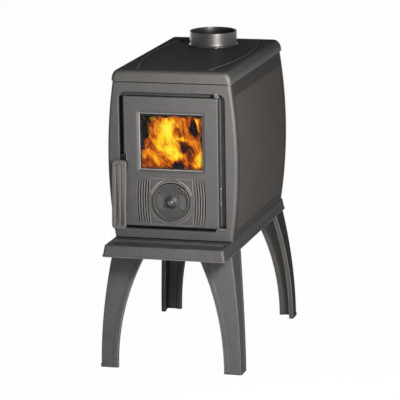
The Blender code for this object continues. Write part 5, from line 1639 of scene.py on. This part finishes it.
@dataclass
class AirDisc:
    """The turning air disc and its spindle."""

    radius: float = 0.0417
    ring: float = 0.0041
    back: float = -0.2063
    thickness: float = 0.0045
    web: float = 0.0030
    hub: float = 0.014
    nose: float = 0.0092
    bore: float = 0.0033
    open_angle: float = 41.0
    tab_angle: float = 45.0
    tab_inset: float = 0.005

    def build(self, door: Door, finishes: Finishes) -> None:
        """Make the disc and its bolt head.

        Args:
            door: The door, which shares the shape of the air passages.
            finishes: The stove's materials.
        """
        center = LAYOUT.disc_center
        front, web = self.back - self.thickness, self.back - self.web
        tip = web - 0.0055
        inner = self.radius - self.ring
        profile = [(self.bore, self.back), (self.radius - 0.0004, self.back), (self.radius, self.back - 0.0004),
                   (self.radius, front + 0.0010), (self.radius - 0.0003, front + 0.0003),
                   (self.radius - 0.0010, front), (inner + 0.0008, front), (inner + 0.0002, front + 0.0004),
                   (inner, web - 0.0002), (inner - 0.0002, web), (self.hub + 0.0004, web), (self.hub, web - 0.0004),
                   (self.nose + 0.0008, tip + 0.0010), (self.nose, tip + 0.0003), (self.nose - 0.0006, tip),
                   (self.nose - 0.0014, tip), (self.nose - 0.0018, tip + 0.0006), (self.bore, tip + 0.0006)]
        piece = Casting("air_disc_casting", Solid.turned(profile, center, Axis.Y, 96, bored=True), Body.DISC,
                        Slot.IRON, finishes.register, ("air_disc",), edge=0.0003, sharp=40)
        tab = Solid.box((-0.0050, 0.0050), (front - 0.0034, self.back - 0.0015), (-0.0042, 0.0042))
        slot = Solid.box((-0.0030, 0.0030), (front - 0.0060, front - 0.0008), (-0.0024, 0.0024))
        place = Axis.Y.place(on_circle(center, self.radius - self.tab_inset, self.tab_angle), 0)
        for block in (tab, slot):
            block.turn(-self.tab_angle, Axis.Y, (0, 0, 0)).move(place)
        piece.fuse(tab)
        piece.cut(slot)
        piece.cut(*(door.sector(angle, self.open_angle, tip - 0.002, self.back + 0.001) for angle in (0, 180)))
        piece.make()
        self.spindle(finishes)

    def spindle(self, finishes: Finishes) -> None:
        """Make the spindle bolt with a socket in its head."""
        center = LAYOUT.disc_center
        low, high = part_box("disc_spindle")
        head, end = low[1], high[1]
        profile = [(0.0036, head), (0.0052, head + 0.0003), (0.0062, head + 0.0010), (0.0066, head + 0.0018),
                   (0.0066, head + 0.0028), (0.003, head + 0.0028), (0.003, end - 0.0005), (0.0025, end)]
        piece = Casting("spindle_bolt", Solid.turned(profile, center, Axis.Y, 40), Body.DOOR, Slot.STEEL,
                        finishes.bolt, ("disc_spindle",), edge=0.0003, sharp=40)
        piece.cut(Solid.turned([(0.0027, head - 0.001), (0.0027, head + 0.0016)], center, Axis.Y, 6))
        piece.make()


@dataclass
class LatchHandle:
    """The grooved handle that lifts the latch finger."""

    width: float = 0.033
    length: float = 0.153
    thickness: float = 0.007
    stand: float = 0.0125
    lean: float = 0.0115
    rise: float = 0.0063
    x: float = -0.116
    round: float = 0.009
    edge: float = 0.0022
    groove: Flat = (0.0048, 0.0022)
    spacing: float = 0.0114
    groove_end: float = 0.009
    play: float = 0.0032
    finger: float = 0.008
    bore: float = 0.0033

    def ring(self, offset: float, y: float) -> Ring:
        """Return the grip's outline at y, before it leans out."""
        middle = (self.x, LAYOUT.pivot_z + self.rise - self.length / 2)
        half = grown((self.width / 2, self.length / 2), offset)
        return Axis.Y.ring(rounded_rect(middle, half, self.round + offset, 10), y)

    def leaned(self, solid: Solid) -> Solid:
        """Lean a shape out towards its lower end."""
        top = (0, LAYOUT.pivot_y - self.stand, LAYOUT.pivot_z + self.rise)
        return solid.turn(-math.degrees(math.atan(self.lean / self.length)), Axis.X, top)

    def flute(self, side: int) -> Solid:
        """Return one long groove with a round bottom and rounded ends."""
        front = LAYOUT.pivot_y - self.stand - self.thickness
        width, depth = self.groove
        middle = (self.x + side * self.spacing / 2, LAYOUT.pivot_z + self.rise - self.length / 2)
        half = (width / 2, self.length / 2 - self.groove_end)
        rings = [Axis.Y.ring(rounded_rect(middle, grown(half, 0.0004), half[0] + 0.0003), front - 0.001)]
        for a in spread(0, math.pi / 2 * 0.86, 5):
            shrink = half[0] * (1 - math.cos(a)) * 0.9
            outline = rounded_rect(middle, grown(half, -shrink), half[0] - shrink - 0.0001)
            rings.append(Axis.Y.ring(outline, front + depth * math.sin(a)))
        return self.leaned(Solid.loft(rings))

    def build(self, finishes: Finishes) -> None:
        """Make the handle with its tongue and finger."""
        back = LAYOUT.pivot_y - self.stand
        front = back - self.thickness
        rings = [self.ring(-self.edge * 0.6, back), self.ring(0.0, back - self.edge)]
        rings += [self.ring(-drawn, front + set_back) for set_back, drawn in quarter_round(self.edge, 6)]
        # The handle takes the lighter copy of the iron: painted light.
        piece = Casting("handle_casting", self.leaned(Solid.loft(rings)), Body.HANDLE, Slot.IRON, finishes.grip,
                        ("door_handle",), edge=0.0004, sharp=40)
        depth = self.stand + self.thickness * 0.4
        shape = [(-depth, 0.0054), (0, 0.0054), (0.0030, 0.0045), (0.0048, 0.0022), (0.0054, 0), (0.0054, -0.0048),
                 (0.0105, -0.0048), (0.0105, 0.0025), (0.014, 0.0025), (0.014, -0.0075), (0.0105, -0.011),
                 (0, -0.011), (-0.008, -0.016), (-depth - 0.0015, -0.028)]
        outline = [(LAYOUT.pivot_y + y, LAYOUT.pivot_z + z) for y, z in shape]
        right = LAYOUT.door_left + LAYOUT.latch_notch - self.play
        left = right - self.finger
        piece.fuse(Solid.prism(outline, Axis.X, left, right))
        piece.cut(self.flute(-1), self.flute(1),
                  Solid.rod((LAYOUT.pivot_y, LAYOUT.pivot_z), Axis.X, self.bore, left - 0.001, right + 0.001, 24))
        piece.make()


@dataclass
class Fire:
    """Split logs on the floor plate and the flames that rise from them."""

    floor: float = 0.2976
    half: float = 0.108
    seed: int = 7

    def log(self, name: str, start: Point, end: Point, radius: float, rough: random.Random,
            finish: bpy.types.Material) -> None:
        """Make one burnt log.

        Args:
            name: Name of the piece.
            start: One end, with its height above the floor plate.
            end: Other end.
            radius: Mean radius.
            rough: Source of the unevenness.
            finish: Its material.
        """
        a, b = (Vector((x, y, self.floor + z)) for x, y, z in (start, end))
        ahead = (b - a).normalized()
        across = ahead.cross(Vector((0, 0, 1))).normalized()
        up = across.cross(ahead)
        sides, count = 18, 22
        lumps = [rough.uniform(0.82, 1.12) for _ in range(sides)]
        rings: list[Ring] = []
        for i in range(count + 1):
            share = i / count
            center = a.lerp(b, share) + up * 0.002 * math.sin(share * 5)
            taper = 0.9 if i in (0, count) else 1.0
            ring = []
            for k in range(sides):
                angle = 2 * math.pi * k / sides
                flat = 0.78 if k in (3, 4, 5) else 1.0
                r = radius * taper * flat * (lumps[k] + rough.uniform(-0.05, 0.05))
                ring.append(tuple(center + across * math.cos(angle) * r + up * math.sin(angle) * r))
            rings.append(ring)
        result = Solid.loft(rings).to_object(name)
        soften(result, 0.0, 40)
        settle(result, Body.STOVE, Slot.LINING, finish)

    def sheet(self, name: str, y: float, height: Flat, finish: bpy.types.Material) -> None:
        """Make one wavy curtain of flame.

        Args:
            name: Name of the piece.
            y: Depth of the curtain.
            height: Foot and tip.
            finish: Its material.
        """
        bm = bmesh.new()
        grid = []
        for across in spread(-self.half, self.half, 60):
            top = height[1] - 0.0022 * (1 + math.sin(170 * across)) - 0.0011 * math.sin(460 * across + 1)
            sway = 0.004 * math.sin(46 * across + 1)
            grid.append([bm.verts.new((across, y + sway * (0.4 + (z - height[0]) / (top - height[0])), z))
                         for z in spread(height[0], top, 24)])
        for left, right in zip(grid, grid[1:]):
            for k in range(len(left) - 1):
                bm.faces.new((left[k], right[k], right[k + 1], left[k + 1]))
        result = Solid(bm).to_object(name)
        result.data.shade_smooth()
        settle(result, Body.STOVE, Slot.LINING, finish)

    def build(self) -> None:
        """Make the logs and the curtain of flame."""
        rough = random.Random(self.seed)
        wood = CharredWood().material()
        for name, start, end, radius in (
                ("log_left", (-0.085, -0.110, 0.024), (-0.050, 0.130, 0.026), 0.024),
                ("log_right", (0.075, -0.105, 0.023), (0.055, 0.140, 0.025), 0.023),
                ("log_top", (-0.055, -0.095, 0.066), (0.062, 0.095, 0.064), 0.022)):
            self.log(name, start, end, radius, rough, wood)
        flame = Flame("burning_gas", (
            Patch(-0.024, 0.535, 0.016, 0.022, 0.40), Patch(-0.028, 0.500, 0.024, 0.030, 0.46),
            Patch(-0.016, 0.470, 0.020, 0.018, 0.32), Patch(0.008, 0.503, 0.014, 0.006, 0.34, -0.6),
            Patch(0.000, 0.464, 0.018, 0.010, 0.32), Patch(-0.052, 0.528, 0.014, 0.014, 0.14),
            Patch(0.008, 0.535, 0.022, 0.018, 0.10), Patch(0.046, 0.538, 0.003, 0.012, 0.45),
            Patch(0.047, 0.458, 0.010, 0.026, 0.38), Patch(-0.058, 0.462, 0.022, 0.022, 0.10),
            Patch(0.0135, 0.484, 0.011, 0.014, -0.26, -0.3), Patch(-0.003, 0.441, 0.017, 0.010, -0.62),
            Patch(0.036, 0.527, 0.009, 0.016, -0.50), Patch(-0.080, 0.535, 0.011, 0.024, -0.70),
            Patch(0.056, 0.515, 0.006, 0.018, -0.30), Patch(-0.084, 0.505, 0.010, 0.030, -0.36)))
        self.sheet("flame_curtain", -0.148, (0.335, 0.556), flame.material())


@dataclass
class Hardware:
    """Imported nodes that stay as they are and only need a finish."""

    steel: tuple[str, ...] = ("leg_bolt", "tie_rod", "collar_screw", "disc_washer", "disc_nut", "hinge_pin",
                              "handle_pivot_bolt", "glass_clip")
    sooty: tuple[str, ...] = ("firebox_floor", "side_lining", "rear_lining", "baffle_plate", "log_fence",
                              "air_deflector")
    rope: tuple[str, ...] = ("glass_seal",)

    def dress(self, finishes: Finishes) -> None:
        """Give each remaining node its finish."""
        groups = ((self.steel, finishes.steel), (self.sooty, finishes.sooty), (self.rope, finishes.rope))
        for name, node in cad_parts.items():
            for starts, surface in groups:
                if name.startswith(starts):
                    node.data.materials.clear()
                    node.data.materials.append(surface)
                    LOG.info("%s: packed node in %s", name, surface.name)


@dataclass
class Studio:
    """The camera, the lamps, the floor and the white background."""

    eye: Point = (1.5637, -5.5828, 1.6254)
    aim: Point = (0.0, 0.0, 0.40)
    yaw: float = 15.588
    pitch: float = -12.550
    roll: float = -0.908
    focal: float = 2616.35
    frame_pixels: float = 400.0
    sensor: float = 36.0

    def camera(self) -> None:
        """Place the camera where the photograph was taken from."""
        yaw, pitch, roll = (math.radians(a) for a in (self.yaw, self.pitch, self.roll))
        ahead = Vector((-math.sin(yaw) * math.cos(pitch), math.cos(yaw) * math.cos(pitch), math.sin(pitch)))
        level = Vector((math.cos(yaw), math.sin(yaw), 0))
        above = level.cross(ahead)
        right = math.cos(roll) * level + math.sin(roll) * above
        up = -math.sin(roll) * level + math.cos(roll) * above
        data = bpy.data.cameras.new("studio_camera")
        data.sensor_width = self.sensor
        data.lens = self.focal * self.sensor / self.frame_pixels
        data.clip_end = 60.0
        camera = add_object("studio_camera", data)
        rows = [(right[i], up[i], -ahead[i], self.eye[i]) for i in range(3)]
        camera.matrix_world = Matrix((*rows, (0, 0, 0, 1)))
        bpy.context.scene.camera = camera

    def around(self, azimuth: float, elevation: float, distance: float) -> Point:
        """Return a place round the stove, with azimuths counted from its front to its right."""
        a, e = math.radians(azimuth), math.radians(elevation)
        return (distance * math.sin(a) * math.cos(e), -distance * math.cos(a) * math.cos(e),
                self.aim[2] + distance * math.sin(e))

    def lamp(self, name: str, place: Point, size: Flat, power: float) -> None:
        """Hang one white area lamp that points at the stove.

        Args:
            name: Name of the lamp.
            place: Where it hangs.
            size: Its width and height.
            power: Its power in watts.
        """
        data = bpy.data.lights.new(name, "AREA")
        data.shape = "RECTANGLE"
        data.size, data.size_y = size
        data.energy = power
        lamp = add_object(name, data)
        lamp.location = place
        lamp.rotation_euler = (Vector(self.aim) - Vector(place)).to_track_quat("-Z", "Y").to_euler()

    def world(self, ambient: float) -> None:
        """Set a dim ambient light and a backdrop that is white near the horizon.

        Args:
            ambient: Strength of the light from above and behind.
        """
        world = bpy.data.worlds.new("studio_world")
        bpy.context.scene.world = world
        world.use_nodes = True
        g = Graph(world.node_tree)
        toward = g.node("ShaderNodeTexCoord", output="Generated")
        rise = g.split(toward)[2]
        low_sky = seen_directly(g) * (1.0 - rise.between(0.03, 0.12))
        dim, white = (g.node("ShaderNodeBackground", {}, {"Color": (1, 1, 1, 1), "Strength": strength})
                      for strength in (ambient, 1.0))
        g.end(g.layered(low_sky, dim, white), "ShaderNodeOutputWorld")

    def floor(self) -> None:
        """Lay the pale floor."""
        bm = bmesh.new()
        bmesh.ops.create_grid(bm, x_segments=4, y_segments=4, size=14.0)
        floor = Solid(bm).move((0, 0, -0.0004)).to_object("studio_floor")
        floor.data.materials.append(PaleFloor().material())

    def build(self) -> None:
        """Set up the whole studio."""
        self.camera()
        self.world(0.05)
        self.lamp("key_lamp", self.around(38, 21, 1.15), (0.11, 0.30), 17.5)
        self.lamp("front_lamp", self.around(22, 2, 1.7), (0.16, 0.60), 5.6)
        self.lamp("back_lamp", self.around(222, 8, 2.3), (0.40, 0.80), 7.0)
        self.floor()
        bpy.context.scene.view_settings.view_transform = "Standard"


def main() -> None:
    """Build the stove's looks in order."""
    logging.basicConfig(level=logging.INFO, format="%(message)s")
    Studio().build()
    finishes = Finishes.make()
    Legs().build(finishes)
    HearthTray().build(finishes)
    walls = Walls()
    walls.build_front(finishes)
    walls.build_back(finishes)
    for side in (-1, 1):
        walls.build_side(side, finishes)
    Crown().build(finishes)
    door = Door()
    door.build(finishes)
    AirDisc().build(door, finishes)
    LatchHandle().build(finishes)
    Fire().build()
    Hardware().dress(finishes)


if __name__ == "__main__":
    main()
